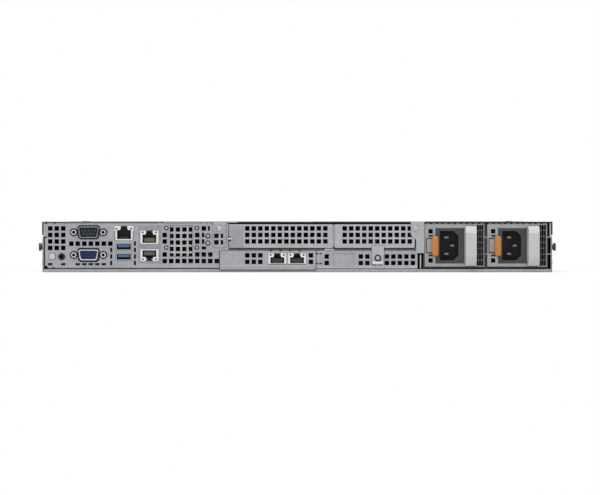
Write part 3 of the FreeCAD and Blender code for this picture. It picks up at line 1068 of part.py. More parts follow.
doc.recompute()
failed = [item.Label for item in doc.Objects if {"Invalid", "Error"} & set(item.State)]
failed += [item.Label for item in subparts if item.Shape.isNull() or not item.Shape.isValid()]
pockets = [item for item in doc.Objects if item.TypeId == "PartDesign::Pocket"]
failed += [item.Label for item in pockets if item.Shape.Volume >= item.BaseFeature.Shape.Volume]
added = [item for item in doc.Objects if item.TypeId == "PartDesign::Pad" and item.BaseFeature]
failed += [item.Label for item in added if item.Shape.Volume <= item.BaseFeature.Shape.Volume]
if failed:
    raise RuntimeError("failed: " + ", ".join(failed))

os.makedirs("parts", exist_ok=True)
for item in subparts:
    item.Shape.exportStep(f"parts/{item.Label}.step")
print(len(subparts), "sub-parts written")
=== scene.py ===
import math
import random

import bmesh
import bpy
from mathutils import Matrix, Vector


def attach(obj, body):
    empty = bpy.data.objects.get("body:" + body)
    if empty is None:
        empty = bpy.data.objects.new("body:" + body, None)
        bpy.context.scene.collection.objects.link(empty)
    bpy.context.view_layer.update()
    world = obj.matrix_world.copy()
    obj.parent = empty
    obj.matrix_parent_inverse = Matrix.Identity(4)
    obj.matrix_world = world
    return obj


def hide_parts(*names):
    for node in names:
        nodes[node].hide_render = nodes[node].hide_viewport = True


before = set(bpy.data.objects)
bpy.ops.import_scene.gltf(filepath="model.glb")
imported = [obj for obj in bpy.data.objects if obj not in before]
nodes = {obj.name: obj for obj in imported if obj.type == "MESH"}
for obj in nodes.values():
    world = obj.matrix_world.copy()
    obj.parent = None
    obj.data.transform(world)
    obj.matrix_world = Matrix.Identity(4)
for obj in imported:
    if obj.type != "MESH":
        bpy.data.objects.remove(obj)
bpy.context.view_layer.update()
mm = 0.001
rear = -338.5  # outer face of the rear wall, millimetres
supplyLeft = {1: 108.3, 2: 161.5}
bayMiddle = {n: (n - 2.5) * 107.6 for n in (1, 2, 3, 4)}
print("frame loaded:", len(nodes), "nodes")


# Shader maths: a wrapped socket, so that masks and colours are written as expressions.
class Wire:
    def __init__(self, finish, socket):
        self.finish = finish
        self.socket = socket

    def calc(self, operation, *others, flip=False):
        values = [self, *others]
        if flip:
            values.reverse()
        return self.finish.add("ShaderNodeMath", {"operation": operation}, dict(enumerate(values)))

    def __add__(self, other):
        return self.calc("ADD", other)

    def __sub__(self, other):
        return self.calc("SUBTRACT", other)

    def __mul__(self, other):
        return self.calc("MULTIPLY", other)

    def __gt__(self, other):
        return self.calc("GREATER_THAN", other)

    def __lt__(self, other):
        return self.calc("LESS_THAN", other)

    def __rsub__(self, other):
        return self.calc("SUBTRACT", other, flip=True)

    def __abs__(self):
        return self.calc("ABSOLUTE")

    __radd__ = __add__
    __rmul__ = __mul__


class Finish:
    def __init__(self, name, **values):
        self.material = bpy.data.materials.new(name)
        self.material.use_nodes = True
        self.tree = self.material.node_tree
        self.shader = self.tree.nodes["Principled BSDF"]
        self.set(**values)
        self.place = self.add("ShaderNodeTexCoord", out="Object")

    def feed(self, socket, value):
        if isinstance(value, Wire):
            self.tree.links.new(value.socket, socket)
        elif isinstance(value, tuple) and len(value) == 3 and socket.type == "RGBA":
            socket.default_value = (*value, 1)
        else:
            socket.default_value = value

    def add(self, kind, settings=None, sockets=None, out=0):
        node = self.tree.nodes.new(kind)
        for key, value in (settings or {}).items():
            setattr(node, key, value)
        for key, value in (sockets or {}).items():
            self.feed(node.inputs[key], value)
        return Wire(self, node.outputs[out])

    def set(self, **values):
        names = {"colour": "Base Color", "roughness": "Roughness", "metallic": "Metallic",
                 "normal": "Normal", "coat": "Coat Weight", "coatRoughness": "Coat Roughness",
                 "emission": "Emission Color", "emissionStrength": "Emission Strength",
                 "specular": "Specular IOR Level", "alpha": "Alpha"}
        for key, value in values.items():
            self.feed(self.shader.inputs[names[key]], value)

    def axes(self):
        split = self.tree.nodes.new("ShaderNodeSeparateXYZ")
        self.tree.links.new(self.place.socket, split.inputs[0])
        return [Wire(self, split.outputs[index]) for index in range(3)]

    def stretch(self, scale):
        return self.add("ShaderNodeMapping", {}, {"Vector": self.place, "Scale": scale})

    def noise(self, scale, detail, rough=0.55, place=None):
        return self.add("ShaderNodeTexNoise", {}, {"Vector": place or self.place, "Scale": scale,
                                                   "Detail": detail, "Roughness": rough})

    def cells(self, scale, out="Distance"):
        return self.add("ShaderNodeTexVoronoi", {}, {"Vector": self.place, "Scale": scale}, out)

    def span(self, value, low, high, toLow=0.0, toHigh=1.0):
        limits = {"From Min": low, "From Max": high, "To Min": toLow, "To Max": toHigh}
        return self.add("ShaderNodeMapRange", {"clamp": True}, {"Value": value, **limits})

    def blendColour(self, factor, first, second):
        return self.add("ShaderNodeMix", {"data_type": "RGBA"}, {0: factor, 6: first, 7: second}, 2)

    def bump(self, height, strength, distance):
        values = {"Height": height, "Strength": strength, "Distance": distance}
        return self.add("ShaderNodeBump", {}, values)

    # 1 between two values and 0 outside them, with a soft edge
    def between(self, value, low, high, soft=0.00005):
        entered = self.span(value, low - soft, low + soft)
        return entered * self.span(value, high - soft, high + soft, 1.0, 0.0)

    def band(self, value, low, high):
        return self.between(value, low * mm, high * mm)


def plateSteel(name, colour, roughness=0.34, grain=(6.0, 400.0, 400.0), depth=0.10, metal=0.6, shade=None,
               creviceShade=0.22, punched=False, spangle=0.15):
    # rolled sheet with zinc plate: long grain, faint crystal mottling, handling marks
    steel = Finish(name, metallic=metal)
    streaks = steel.noise(1.0, 4.0, 0.6, steel.stretch(grain))
    mottle = steel.noise(55.0, 5.0, 0.65)
    flakes = steel.cells(260.0, out="Color")
    flake = steel.add("ShaderNodeSeparateColor", {}, {"Color": flakes}, "Red")
    marks = steel.span(steel.noise(14.0, 6.0, 0.7), 0.35, 0.75)
    darker = tuple(channel * 0.86 for channel in colour)
    lighter = tuple(channel * 1.10 for channel in colour)
    tone = steel.span(mottle * 0.55 + streaks * 0.30 + flake * spangle, 0.32, 0.68)
    # painted shade: an ambient occlusion node darkens crevices and the edges round proud parts towards the
    # shaded colour
    corner = steel.add("ShaderNodeAmbientOcclusion", {"samples": 6}, {"Distance": 0.003}, "AO")
    shadedColour = tuple(channel * creviceShade for channel in colour)
    clean = steel.blendColour(tone, darker, lighter)
    exposed = steel.span(corner, 0.30, 0.82)
    if punched:
        # painted shade on the rolled-over edges of the punched holes
        turned = steel.add("ShaderNodeAmbientOcclusion", {"samples": 6, "inside": True, "only_local": True},
                           {"Distance": 0.0004}, "AO")
        exposed = exposed * steel.span(turned, 0.45, 0.85, 0.15, 1.0)
    # the shade functions add painted shade of their own
    if shade:
        exposed = exposed * (1.0 - shade(steel, *steel.axes()))
    uneven = (marks - 0.5) * 0.10 + (streaks - 0.5) * 0.12 + (flake - 0.5) * spangle * 0.3
    steel.set(colour=steel.blendColour(exposed, shadedColour, clean), roughness=roughness + uneven,
              normal=steel.bump(streaks * 0.6 + mottle * 0.4, depth, 0.00008))
    return steel.material


def mouldedPlastic(name, colour, roughness=0.5, grain=1800.0, depth=0.25, wear=0.06):
    # moulded plastic with a fine spark texture and slightly uneven gloss
    plastic = Finish(name, specular=0.45)
    pores = plastic.cells(grain)
    cloud = plastic.noise(70.0, 4.0, 0.6)
    paler = tuple(channel + (0.5 - channel) * wear for channel in colour)
    plastic.set(colour=plastic.blendColour(plastic.span(cloud, 0.35, 0.7), colour, paler),
                roughness=roughness + (cloud - 0.5) * 0.16 + pores * 0.08,
                normal=plastic.bump(pores, depth, 0.00004))
    return plastic.material


print("finishes begin")


# a depth behind the rear wall, in metres
def inward(depth):
    return (rear + depth) * mm


# Darkening of the sheets, 1 is the darkest: painted shade in gaps and along edges, and darker fields.
# painted shadow line along the foot of the panel, and a darker field by the network sockets
def panelShade(steel, x, y, z):
    footShade = steel.span(z, 3.3 * mm, 3.7 * mm, 0.9, 0.0)
    stack = steel.band(x, -135, -115.6) * steel.band(z, 6.8, 39.5)
    return footShade + stack * 0.22


# darker above 6.2 mm, and a painted shadow line under the bracket from 1 to 2.5 mm
def lowerShade(steel, x, y, z):
    return steel.span(z, 5.4 * mm, 6.2 * mm) * 0.15 + steel.band(z, 1.0, 2.5) * 0.75


def slotShade(steel, x, y, z):
    return steel.band(x, -60, -45.7) * steel.band(z, 20, 39.3) * 0.26


# painted shade draws pressed studs and two long beads on the underside, and darkens the rear ends of the
# walls
def trayShade(steel, x, y, z):
    pitchX, pitchY, soft = 0.095, 0.097, 0.0002
    stepX = (x + pitchX * 4.5).calc("MODULO", pitchX) - pitchX / 2
    stepY = (y + pitchY * 4.5).calc("MODULO", pitchY) - pitchY / 2
    away = (stepX * stepX + stepY * stepY).calc("SQRT")
    bead = sum(steel.between(abs(x), low * mm, (low + 0.6) * mm, soft) for low in (150, 158))
    rings = steel.between(away, 2.5 * mm, 2.9 * mm, soft)
    edges = (abs(x) > 215.6 * mm) * (y < inward(0.6)) * 0.6
    return (rings + bead * (abs(y) < 0.31)).calc("MINIMUM", 1.0) * (z < 0.3 * mm) * 0.7 + edges


# painted shade on the rear edge of the cover, partly its dark cut edge, darker to the right and at both ends
def lidShade(steel, x, y, z):
    edge = steel.span(y, inward(0.4), inward(0.9), 1.0, 0.0)
    tone = steel.span(x, -52 * mm, -49 * mm, 0.62, 0.95) - steel.band(x, -113, -51) * 0.6
    ends = (abs(x) > 216 * mm) * (z < 42 * mm) * 0.25
    return edge * (tone + ends).calc("MINIMUM", 0.97)


# painted shade over the air slots beside the handles
def supplyShade(steel, x, y, z):
    slots = sum(steel.band(x, left + 43.9, left + 50.1) for left in supplyLeft.values())
    face = steel.span(y, inward(1.5), inward(1.6), 1.0, 0.0)
    return slots * steel.band(z, 5.2, 40.0) * face * 0.86


zincTone, coverTone, coverGrain = (0.49, 0.495, 0.52), (0.40, 0.405, 0.43), (3.0, 300.0, 300.0)
zinc = plateSteel("zincSteel", zincTone, punched=True)
panelSteel = plateSteel("panelSteel", (0.43, 0.435, 0.465), punched=True, creviceShade=0.10, shade=panelShade)
lowerSteel = plateSteel("lowerSteel", zincTone, punched=True, shade=lowerShade)
coverSteel = plateSteel("coverSteel", zincTone, punched=True, shade=slotShade)
traySteel = plateSteel("traySteel", (0.46, 0.465, 0.49), shade=trayShade)
lidSteel = plateSteel("lidSteel", coverTone, 0.50, coverGrain, metal=0.45, creviceShade=0.07, shade=lidShade)
zincCover = plateSteel("zincCover", coverTone, 0.50, coverGrain, metal=0.45)
# a paler copy of the zinc plate: a painted highlight on small formed parts
zincHighlight = plateSteel("zincHighlight", (0.55, 0.555, 0.58), 0.32)
supplySteel = plateSteel("supplySteel", (0.40, 0.405, 0.42), 0.38, shade=supplyShade)
nickel = plateSteel("nickelBright", (0.60, 0.60, 0.61), 0.26, (60.0, 60.0, 300.0), 0.05, 0.9)
darkSteel = plateSteel("darkSteel", (0.07, 0.07, 0.075), 0.42)
finStock = plateSteel("finStock", (0.58, 0.585, 0.59), 0.38, (200.0, 8.0, 200.0), 0.06, spangle=0.02)
castAlloy = plateSteel("castAlloy", (0.34, 0.345, 0.35), 0.52, (500.0, 500.0, 500.0), 0.12, 0.5,
                       spangle=0.0)
lidAlloy = plateSteel("lidAlloy", (0.46, 0.465, 0.475), 0.44, (260.0, 5.0, 260.0), 0.05, 0.5,
                      spangle=0.0)
blackPlastic = mouldedPlastic("blackPlastic", (0.018, 0.018, 0.020))
inletBlack = mouldedPlastic("inletBlack", (0.004, 0.004, 0.005), 0.62, wear=0.01)
handleGrey = mouldedPlastic("handleGrey", (0.56, 0.565, 0.58), 0.42)
shroudBlack = mouldedPlastic("shroudBlack", (0.022, 0.022, 0.024), 0.48)
latchBlue = mouldedPlastic("latchBlue", (0.030, 0.110, 0.330), 0.42)
buttonWhite = mouldedPlastic("buttonWhite", (0.90, 0.90, 0.885), 0.35, wear=0.02)
fanBlack = mouldedPlastic("fanBlack", (0.020, 0.020, 0.021), 0.38)
earBlack = mouldedPlastic("earBlack", (0.026, 0.026, 0.028), 0.44)


def boardFinish(name, blackMask=None):
    # solder mask with fine copper runs under it and rings of vias; the mask argument marks the black sockets
    # on it, and on the riser a rear edge painted black as shade
    mask, trace = (0.010, 0.075, 0.035), (0.016, 0.115, 0.055)
    board = Finish(name, specular=0.5, coatRoughness=0.2)
    x, y, z = board.axes()
    runs = board.add("ShaderNodeTexBrick", {"offset": 0.37, "squash": 1.0},
                     {"Vector": board.place, "Color1": (0.0, 0.0, 0.0), "Color2": (1.0, 1.0, 1.0),
                      "Mortar": (0.5, 0.5, 0.5), "Scale": 90.0, "Mortar Size": 0.03, "Brick Width": 1.7,
                      "Row Height": 0.12}, "Fac")
    zone = board.span(board.noise(30.0, 2.0), 0.46, 0.52)
    via = board.cells(420.0)
    ring = board.between(via, 0.10, 0.20, 0.02) * board.span(board.noise(45.0, 1.0), 0.52, 0.56)
    black = blackMask(x, y, z) if blackMask else x * 0.0
    ring = ring * (1.0 - black)
    body = board.blendColour(black, board.blendColour(runs * zone, mask, trace), (0.014, 0.014, 0.015))
    board.set(colour=board.blendColour(ring, body, (0.52, 0.40, 0.16)), metallic=ring,
              roughness=0.38 - ring * 0.12 + black * 0.12, coat=0.35 - black * 0.35,
              normal=board.bump(runs * zone + ring, 0.25, 0.0001))
    return board.material


boardGreen = boardFinish("boardGreen", lambda x, y, z: z > 6.75 * mm)
memoryGreen = boardFinish("memoryGreen")
# the riser's rear edge, seen through the vents, painted black as shade
riserGreen = boardFinish("riserGreen", lambda x, y, z: y < inward(12.2))
planeGreen = boardFinish("planeGreen", lambda x, y, z: y > 187.75 * mm)


# Finishes that change over one node: masks are written on the row's own coordinates.
def jackFinish():
    # shields with a dark moulded inside; painted shade fills the key gap open to the edge, and the face is
    # painted as a lit copy of the nickel, brighter than the plain nickel behind the panel
    jack = Finish("jackShield")
    x, y, z = jack.axes()
    # middle, mouth from and to, key gap from and to, top of the shaded rim
    mouths = [(-147.3, 27.6, 38.7, 36.3, 39.6, 35.0), (-125.7, 24.3, 34.8, 32.4, 36.0, 24.0),
              (-125.7, 9.7, 18.8, 8.6, 11.0, 9.0), (-17.0, 7.0, 15.5, 13.1, 16.2, 7.0),
              (-0.2, 7.0, 15.5, 13.1, 16.2, 7.0)]
    inside, gap, rim = 0.0, 0.0, 0.0
    for middle, low, high, keyLow, keyHigh, rimTop in mouths:
        away = abs(x - middle * mm)
        inside = inside + (away < 6.3 * mm) * jack.band(z, low, high)
        gap = gap + (away < 2.8 * mm) * jack.band(z, keyLow, keyHigh)
        outside = (away > 7.15 * mm) * (away < 9.5 * mm)
        rim = rim + outside * jack.band(z, low - 2, rimTop)
    # painted shade at the foot of the card sockets
    footShade = (abs(x + 8.6 * mm) < 17 * mm) * (z < 6.95 * mm)
    deep = jack.between(y, inward(0.35), inward(13))
    dark = (inside * deep + gap * (y < inward(0.5)) + footShade).calc("MINIMUM", 1.0)
    behind = jack.span(y, inward(0.8), inward(1.4))
    cloud = jack.noise(120.0, 4.0)
    shield = jack.blendColour((behind + rim).calc("MINIMUM", 1.0), (0.76, 0.76, 0.77), (0.38, 0.38, 0.39))
    jack.set(colour=jack.blendColour(dark, shield, (0.022, 0.021, 0.020)), metallic=0.9 - dark * 0.9,
             roughness=0.28 + dark * 0.25 + (cloud - 0.5) * 0.14,
             normal=jack.bump(cloud, 0.06, 0.0001))
    return jack.material


def usbFinish():
    # thin plated rim round a deep blue mouth
    usb = Finish("usbShell")
    y = usb.axes()[1]
    inside = usb.span(y, inward(-0.45), inward(-0.35))
    cloud = usb.noise(120.0, 4.0)
    usb.set(colour=usb.blendColour(inside, (0.60, 0.60, 0.61), (0.006, 0.022, 0.060)),
            metallic=0.9 - inside * 0.9, roughness=0.30 + inside * 0.2 + (cloud - 0.5) * 0.14,
            normal=usb.bump(cloud, 0.06, 0.0001))
    return usb.material


def cageFinish():
    # pale corner flange outside, walls in the shade of the bays
    cage = Finish("cageSteel")
    y = cage.axes()[1]
    shaded = cage.span(y, inward(0.3), inward(1.2))
    streaks = cage.noise(1.0, 4.0, 0.6, cage.stretch((6.0, 400.0, 400.0)))
    mottle = cage.noise(55.0, 5.0, 0.65)
    pale = cage.blendColour(cage.span(mottle, 0.3, 0.7), (0.44, 0.445, 0.465), (0.52, 0.525, 0.545))
    cage.set(colour=cage.blendColour(shaded, pale, (0.085, 0.085, 0.09)), metallic=0.6,
             roughness=0.36 + (streaks - 0.5) * 0.12, normal=cage.bump(streaks, 0.1, 0.00008))
    return cage.material


def handleFinish():
    # painted bail, creased where it bends, with painted shade in the creases and painted light that makes it
    # brighter towards its top
    bail = Finish("handlePaint", specular=0.45)
    z = bail.axes()[2]
    upper = bail.between(z, 31.5 * mm, 31.9 * mm, 0.00015)
    lower = bail.between(z, 12.0 * mm, 12.3 * mm, 0.00015)
    crease = upper + lower * 0.5
    pores = bail.cells(1500.0)
    cloud = bail.noise(60.0, 4.0)
    paint = bail.blendColour(bail.span(z, 29.0 * mm, 34.0 * mm), (0.80, 0.805, 0.82), (0.92, 0.925, 0.935))
    bail.set(colour=bail.blendColour(crease * 0.6, paint, (0.25, 0.25, 0.26)),
             roughness=0.40 + (cloud - 0.5) * 0.15,
             normal=bail.bump(pores * 0.3 - crease * 2.0, 0.3, 0.00012))
    return bail.material


def inletFinish(left):
    # grey moulded flange, black well, plated blades darkened by painted shade, with a painted highlight on
    # their tips
    inlet = Finish("inletMoulding", specular=0.4)
    x, y, z = inlet.axes()
    blade, litTip = 0.0, 0.0
    for middle, height in ((18.5, 29.4), (23.4, 22.4), (18.5, 15.4)):
        aside, rise = abs(x - (left + middle) * mm), abs(z - height * mm)
        blade = blade + (aside < 2.05 * mm) * (rise < 1.05 * mm)
        litTip = litTip + (aside < 1.3 * mm) * (rise < 0.62 * mm)
    blade = blade * inlet.between(y, inward(1.5), inward(17.3))
    litTip = litTip * inlet.between(y, inward(1.5), inward(2.7))
    flange = 1.0 - inlet.span(y, inward(0.52), inward(0.62))
    pores = inlet.cells(1500.0)
    cloud = inlet.noise(90.0, 4.0)
    moulding = inlet.blendColour(flange, (0.008, 0.009, 0.011), (0.082, 0.082, 0.087))
    plated = inlet.blendColour(litTip, (0.075, 0.073, 0.070), (0.22, 0.21, 0.20))
    inlet.set(colour=inlet.blendColour(blade, moulding, plated), metallic=blade * 0.9,
              roughness=0.46 - blade * 0.2 + (cloud - 0.5) * 0.15,
              normal=inlet.bump(pores, 0.2, 0.00004))
    return inlet.material


nodeFinishes = {
    panelSteel: ["rear_panel"],
    lidSteel: ["top_cover"],
    coverSteel: ["slot_cover_1"],
    zinc: ["module_grille", "slot_cover_2", "drive_cage", "fan_wall"],
    lowerSteel: ["slot_cover_3", "network_bracket"],
    traySteel: ["chassis_tray"],
    cageFinish(): ["supply_cage"],
    darkSteel: ["rail_studs"],
    zincCover: ["front_cover"],
    supplySteel: ["supply_1_case", "supply_2_case"],
    nickel: ["jackscrews", "serial_port", "video_port"],
    usbFinish(): ["usb_ports"],
    jackFinish(): ["network_jacks"],
    inletBlack: ["id_jack"],
    inletFinish(supplyLeft[1]): ["supply_1_inlet"],
    inletFinish(supplyLeft[2]): ["supply_2_inlet"],
    blackPlastic: ["front_panel"] + [f"drive_carrier_{n}" for n in bayMiddle],
    shroudBlack: ["air_shroud"],
    fanBlack: ["fan_frames"] + [f"fan_rotor_{n}" for n in range(1, 6)],
    handleFinish(): ["supply_1_handle", "supply_2_handle"],
    handleGrey: ["supply_1_latch", "supply_2_latch"] + [f"drive_lever_{n}" for n in bayMiddle],
    latchBlue: ["cover_latch"],
    buttonWhite: ["id_button", "power_button"],
    earBlack: ["left_ear", "right_ear", "left_ear_latch", "right_ear_latch"],
    boardGreen: ["main_board", "network_card"],
    riserGreen: ["riser_board"],
    planeGreen: ["drive_backplane"],
    memoryGreen: ["memory_modules"],
    finStock: ["heat_sinks"],
    castAlloy: [f"drive_{n}" for n in bayMiddle],
}
for material, names in nodeFinishes.items():
    for name in names:
        piece = nodes[name]
        piece.data.materials.clear()
        piece.data.materials.append(material)


def addBevel(piece, width, segments, angle):
    edge = piece.modifiers.new("edge", "BEVEL")
    edge.width = width * mm
    edge.segments = segments
    edge.limit_method = "ANGLE"
    edge.angle_limit = math.radians(angle)


# soft edges on the moulded and bent nodes; their meshes stay as they are
rounded = {
    0.5: ["cover_latch", "left_ear", "right_ear", "left_ear_latch", "right_ear_latch"],
    0.35: ["power_button", "id_button"] + [f"drive_lever_{n}" for n in bayMiddle],
    0.2: ["supply_1_handle", "supply_2_handle", "id_jack", "supply_1_inlet", "supply_2_inlet", "rail_studs",
          "jackscrews"],
}
for width, names in rounded.items():
    for name in names:
        addBevel(nodes[name], width, segments=3, angle=40)
print("finishes on the frame")


# Modelling helpers: sizes in millimetres, places in the row frame.
def at(x, y, z):
    return Matrix.Translation(Vector((x, y, z)) * mm)


def discard(piece):
    bpy.data.objects.remove(piece, do_unlink=True)


def settle(name):
    piece = bpy.context.object
    piece.name = piece.data.name = name
    bpy.ops.object.transform_apply(location=True, rotation=True, scale=True)
    return piece


def work(piece):
    bpy.ops.object.select_all(action="DESELECT")
    piece.select_set(True)
    bpy.context.view_layer.objects.active = piece


def applyAll(piece):
    work(piece)
    for modifier in list(piece.modifiers):
        bpy.ops.object.modifier_apply(modifier=modifier.name)
    return piece


def soften(piece, width, segments=2):
    addBevel(piece, width, segments, angle=35)
    return applyAll(piece)


def edit(piece):
    work(piece)
    bpy.ops.object.mode_set(mode="EDIT")
    bpy.ops.mesh.select_all(action="SELECT")


def faceOutward(piece):
    edit(piece)
    bpy.ops.mesh.normals_make_consistent(inside=False)
    bpy.ops.object.mode_set(mode="OBJECT")
    return piece


def block(name, low, high, width=0.0, segments=2):
    middle = [(a + b) / 2 * mm for a, b in zip(low, high)]
    size = [(b - a) * mm for a, b in zip(low, high)]
    bpy.ops.mesh.primitive_cube_add(size=1, location=middle, scale=size)
    piece = settle(name)
    return soften(piece, width, segments) if width else piece


def rod(name, start, length, radius, axis, vertices, width=0.0, segments=2):
    turn = {"X": (0, math.pi / 2, 0), "Y": (math.pi / 2, 0, 0), "Z": (0, 0, 0)}[axis]
    middle = Vector(start)
    middle["XYZ".index(axis)] += length / 2
    bpy.ops.mesh.primitive_cone_add(vertices=vertices, radius1=radius * mm, radius2=radius * mm,
                                    depth=abs(length) * mm, location=middle * mm, rotation=turn)
    piece = settle(name)
    return soften(piece, width, segments) if width else piece


# an outline in the other two axes, swept along one axis by the edit-mode extrude
def prism(name, outline, low, high, axis="Y"):
    mesh = bpy.data.meshes.new(name)
    piece = bpy.data.objects.new(name, mesh)
    bpy.context.collection.objects.link(piece)
    side = "XYZ".index(axis)
    points = [Vector((*point[:side], low, *point[side:])) * mm for point in outline]
    mesh.from_pydata(points, [], [list(range(len(points)))])
    edit(piece)
    move = Vector((0, 0, 0))
    move[side] = (high - low) * mm
    bpy.ops.mesh.extrude_region_move(TRANSFORM_OT_translate={"value": move})
    bpy.ops.object.mode_set(mode="OBJECT")
    return faceOutward(piece)


def carve(piece, *tools):
    for tool in tools:
        cut = piece.modifiers.new("cut", "BOOLEAN")
        cut.operation = "DIFFERENCE"
        cut.solver = "EXACT"
        cut.object = tool
    applyAll(piece)
    for tool in tools:
        discard(tool)
    return piece


# insets the upward faces, one step after another; a step is a width and a rise
def insetTop(piece, *steps):
    work(piece)
    bpy.ops.object.mode_set(mode="EDIT")
    bpy.ops.mesh.select_mode(type="FACE")
    bpy.ops.mesh.select_all(action="DESELECT")
    bpy.ops.object.mode_set(mode="OBJECT")
    highest = max(face.center.z for face in piece.data.polygons)
    for face in piece.data.polygons:
        face.select = face.normal.z > 0.9 and face.center.z > highest - 0.00001
    bpy.ops.object.mode_set(mode="EDIT")
    for width, rise in steps:
        bpy.ops.mesh.inset(thickness=width * mm, depth=rise * mm)
    bpy.ops.object.mode_set(mode="OBJECT")
    return piece


def joined(name, pieces):
    bpy.ops.object.select_all(action="DESELECT")
    for piece in pieces:
        piece.select_set(True)
    bpy.context.view_layer.objects.active = pieces[0]
    bpy.ops.object.join()
    return settle(name)


# one mesh of copies, dressed when a look is given; a place is an offset or a matrix
def spread(name, model, places, *look, keep=False, smooth=True):
    gathered = bmesh.new()
    for place in places:
        copy = model.data.copy()
        copy.transform(place if isinstance(place, Matrix) else at(*place))
        gathered.from_mesh(copy)
        bpy.data.meshes.remove(copy)
    mesh = bpy.data.meshes.new(name)
    gathered.to_mesh(mesh)
    gathered.free()
    piece = bpy.data.objects.new(name, mesh)
    bpy.context.collection.objects.link(piece)
    if not keep:
        discard(model)
    if look:
        dress(piece, *look, smooth=smooth)
    return piece


def dress(piece, material, slot, body="chassis", smooth=True):
    piece.data.materials.clear()
    piece.data.materials.append(material)
    if smooth:
        work(piece)
        bpy.ops.object.shade_smooth_by_angle(angle=math.radians(35))
    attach(piece, body)


# corners rounded by a short curve that starts at a distance from each
def roundedOutline(corners, cut, steps=4):
    points = []
    for index, (x, z) in enumerate(corners):
        corner = Vector((x, z))
        start = corner + (Vector(corners[index - 1]) - corner).normalized() * cut
        end = corner + (Vector(corners[(index + 1) % len(corners)]) - corner).normalized() * cut
        for step in range(steps + 1):
            part = step / steps
            points.append(tuple(start * (1 - part) ** 2 + corner * 2 * part * (1 - part) + end * part ** 2))
    return points


# Ports of the rear wall
goldContact = plateSteel("goldContact", (0.72, 0.55, 0.26), 0.3, (80.0, 80.0, 80.0), 0.04)
usbBlue = mouldedPlastic("usbBlue", (0.085, 0.250, 0.520), 0.38)
videoBlue = mouldedPlastic("videoBlue", (0.006, 0.020, 0.125), 0.48, wear=0.03)
serialTeal = mouldedPlastic("serialTeal", (0.002, 0.020, 0.023), 0.50, wear=0.02)
holeBlack = mouldedPlastic("holeBlack", (0.004, 0.004, 0.005), 0.7)
shellGrey = plateSteel("shellGrey", (0.21, 0.22, 0.225), 0.28, (60.0, 60.0, 300.0), 0.05, 0.9)
# height on the wall, half the height of the shell, half its width at the foot and at the top
ports = {"serial": (33.7, 4.9, 7.6, 8.95), "video": (14.45, 4.55, 7.2, 8.65)}
portX, portReach = -177.4, 5.6


def portOutline(name, grow=0.0):
    z, half, low, high = ports[name]
    half, low, high = half + grow, low + grow, high + grow
    return roundedOutline([(portX - low, z - half), (portX + low, z - half), (portX + high, z + half),
                           (portX - high, z + half)], 1.9 + grow * 0.5)


def portShell(name, finish, low, high):
    shell = carve(prism(f"{name}Shell", portOutline(name), rear - portReach, rear + 1.2),
                  prism("bore", portOutline(name, -0.95), rear - portReach - 1, rear - 0.5))
    dress(soften(shell, 0.25, 3), finish, "bright_steel")
    behind = block(f"{name}Block", (portX - 15.3, rear + 1.2, low), (portX + 15.3, rear + 12, high), 0.4)
    dress(behind, blackPlastic, "black_plastic")
    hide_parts(f"{name}_port")


portShell("serial", shellGrey, 26.9, 40.2)
insert = prism("serialInsert", portOutline("serial", -1.0), rear - 1.6, rear - 0.52)
dress(insert, serialTeal, "black_plastic", smooth=False)
pin = rod("pin", (0, rear - 1.5, 0), -2.9, 0.52, "Y", 16, 0.22, 3)
pinSpots = [(portX + (number - 2) * 2.77, 0, ports["serial"][0] + 1.42) for number in range(5)]
pinSpots += [(portX + (number - 1.5) * 2.77, 0, ports["serial"][0] - 1.42) for number in range(4)]
spread("serialPins", pin, pinSpots, shellGrey, "bright_steel")

portShell("video", nickel, 6.6, 20.65)
contactHole = rod("contactHole", (0, rear - 6, 0), 4, 0.55, "Y", 10)
grid = [(portX + (column - 2) * 2.29 + shift, 0, ports["video"][0] + rise)
        for shift, rise in ((-0.57, -2.0), (0.57, 0.0), (-0.57, 2.0)) for column in range(5)]
holes = spread("contactHoles", contactHole, grid)
insert = carve(prism("videoInsert", portOutline("video", -1.0), rear - 4.9, rear - 0.52), holes)
dress(insert, videoBlue, "video_blue", smooth=False)
print("ports made")

# Network sockets: spring contacts, light windows
sockets = {"manage": (-147.3, 28.0, 1), "lanUpper": (-125.7, 24.7, 1), "lanLower": (-125.7, 18.4, -1),
           "cardLeft": (-17.0, 7.4, 1), "cardRight": (-0.2, 7.4, 1)}
spring = block("spring", (-0.24, rear + 2.2, 0.5), (0.24, rear + 10.5, 0.9), 0.08)
tilt = at(0, rear + 2.2, 0.5) @ Matrix.Rotation(math.radians(20), 4, "X") @ at(0, -rear - 2.2, -0.5)
spring.data.transform(tilt)
places = []
for x, z, way in sockets.values():
    for number in range(8):
        places.append(at(x + (number - 3.5) * 1.02, 0, z) @ Matrix.Scale(way, 4, (0, 0, 1)))
contacts = spread("socketContacts", spring, places)
dress(faceOutward(contacts), goldContact, "bright_steel")

# moulded bed behind the springs
contactBed = plateSteel("contactBed", (0.20, 0.185, 0.155), 0.45, (900.0, 20.0, 20.0), 0.2, 0.3)
bedBrown = plateSteel("bedBrown", (0.070, 0.060, 0.050), 0.5, (900.0, 20.0, 20.0), 0.2, 0.2)
bed = block("bed", (-5.2, rear + 3.4, 0.2), (5.2, rear + 4.6, 4.3), 0.2)
for group, finish in (("lan", contactBed), ("card", bedBrown)):
    spots = [at(x, 0, z) @ Matrix.Scale(way, 4, (0, 0, 1))
             for name, (x, z, way) in sockets.items() if name.startswith(group)]
    spread(f"{group}ContactBeds", bed, spots, finish, "grey_plastic", smooth=False, keep=True)
discard(bed)

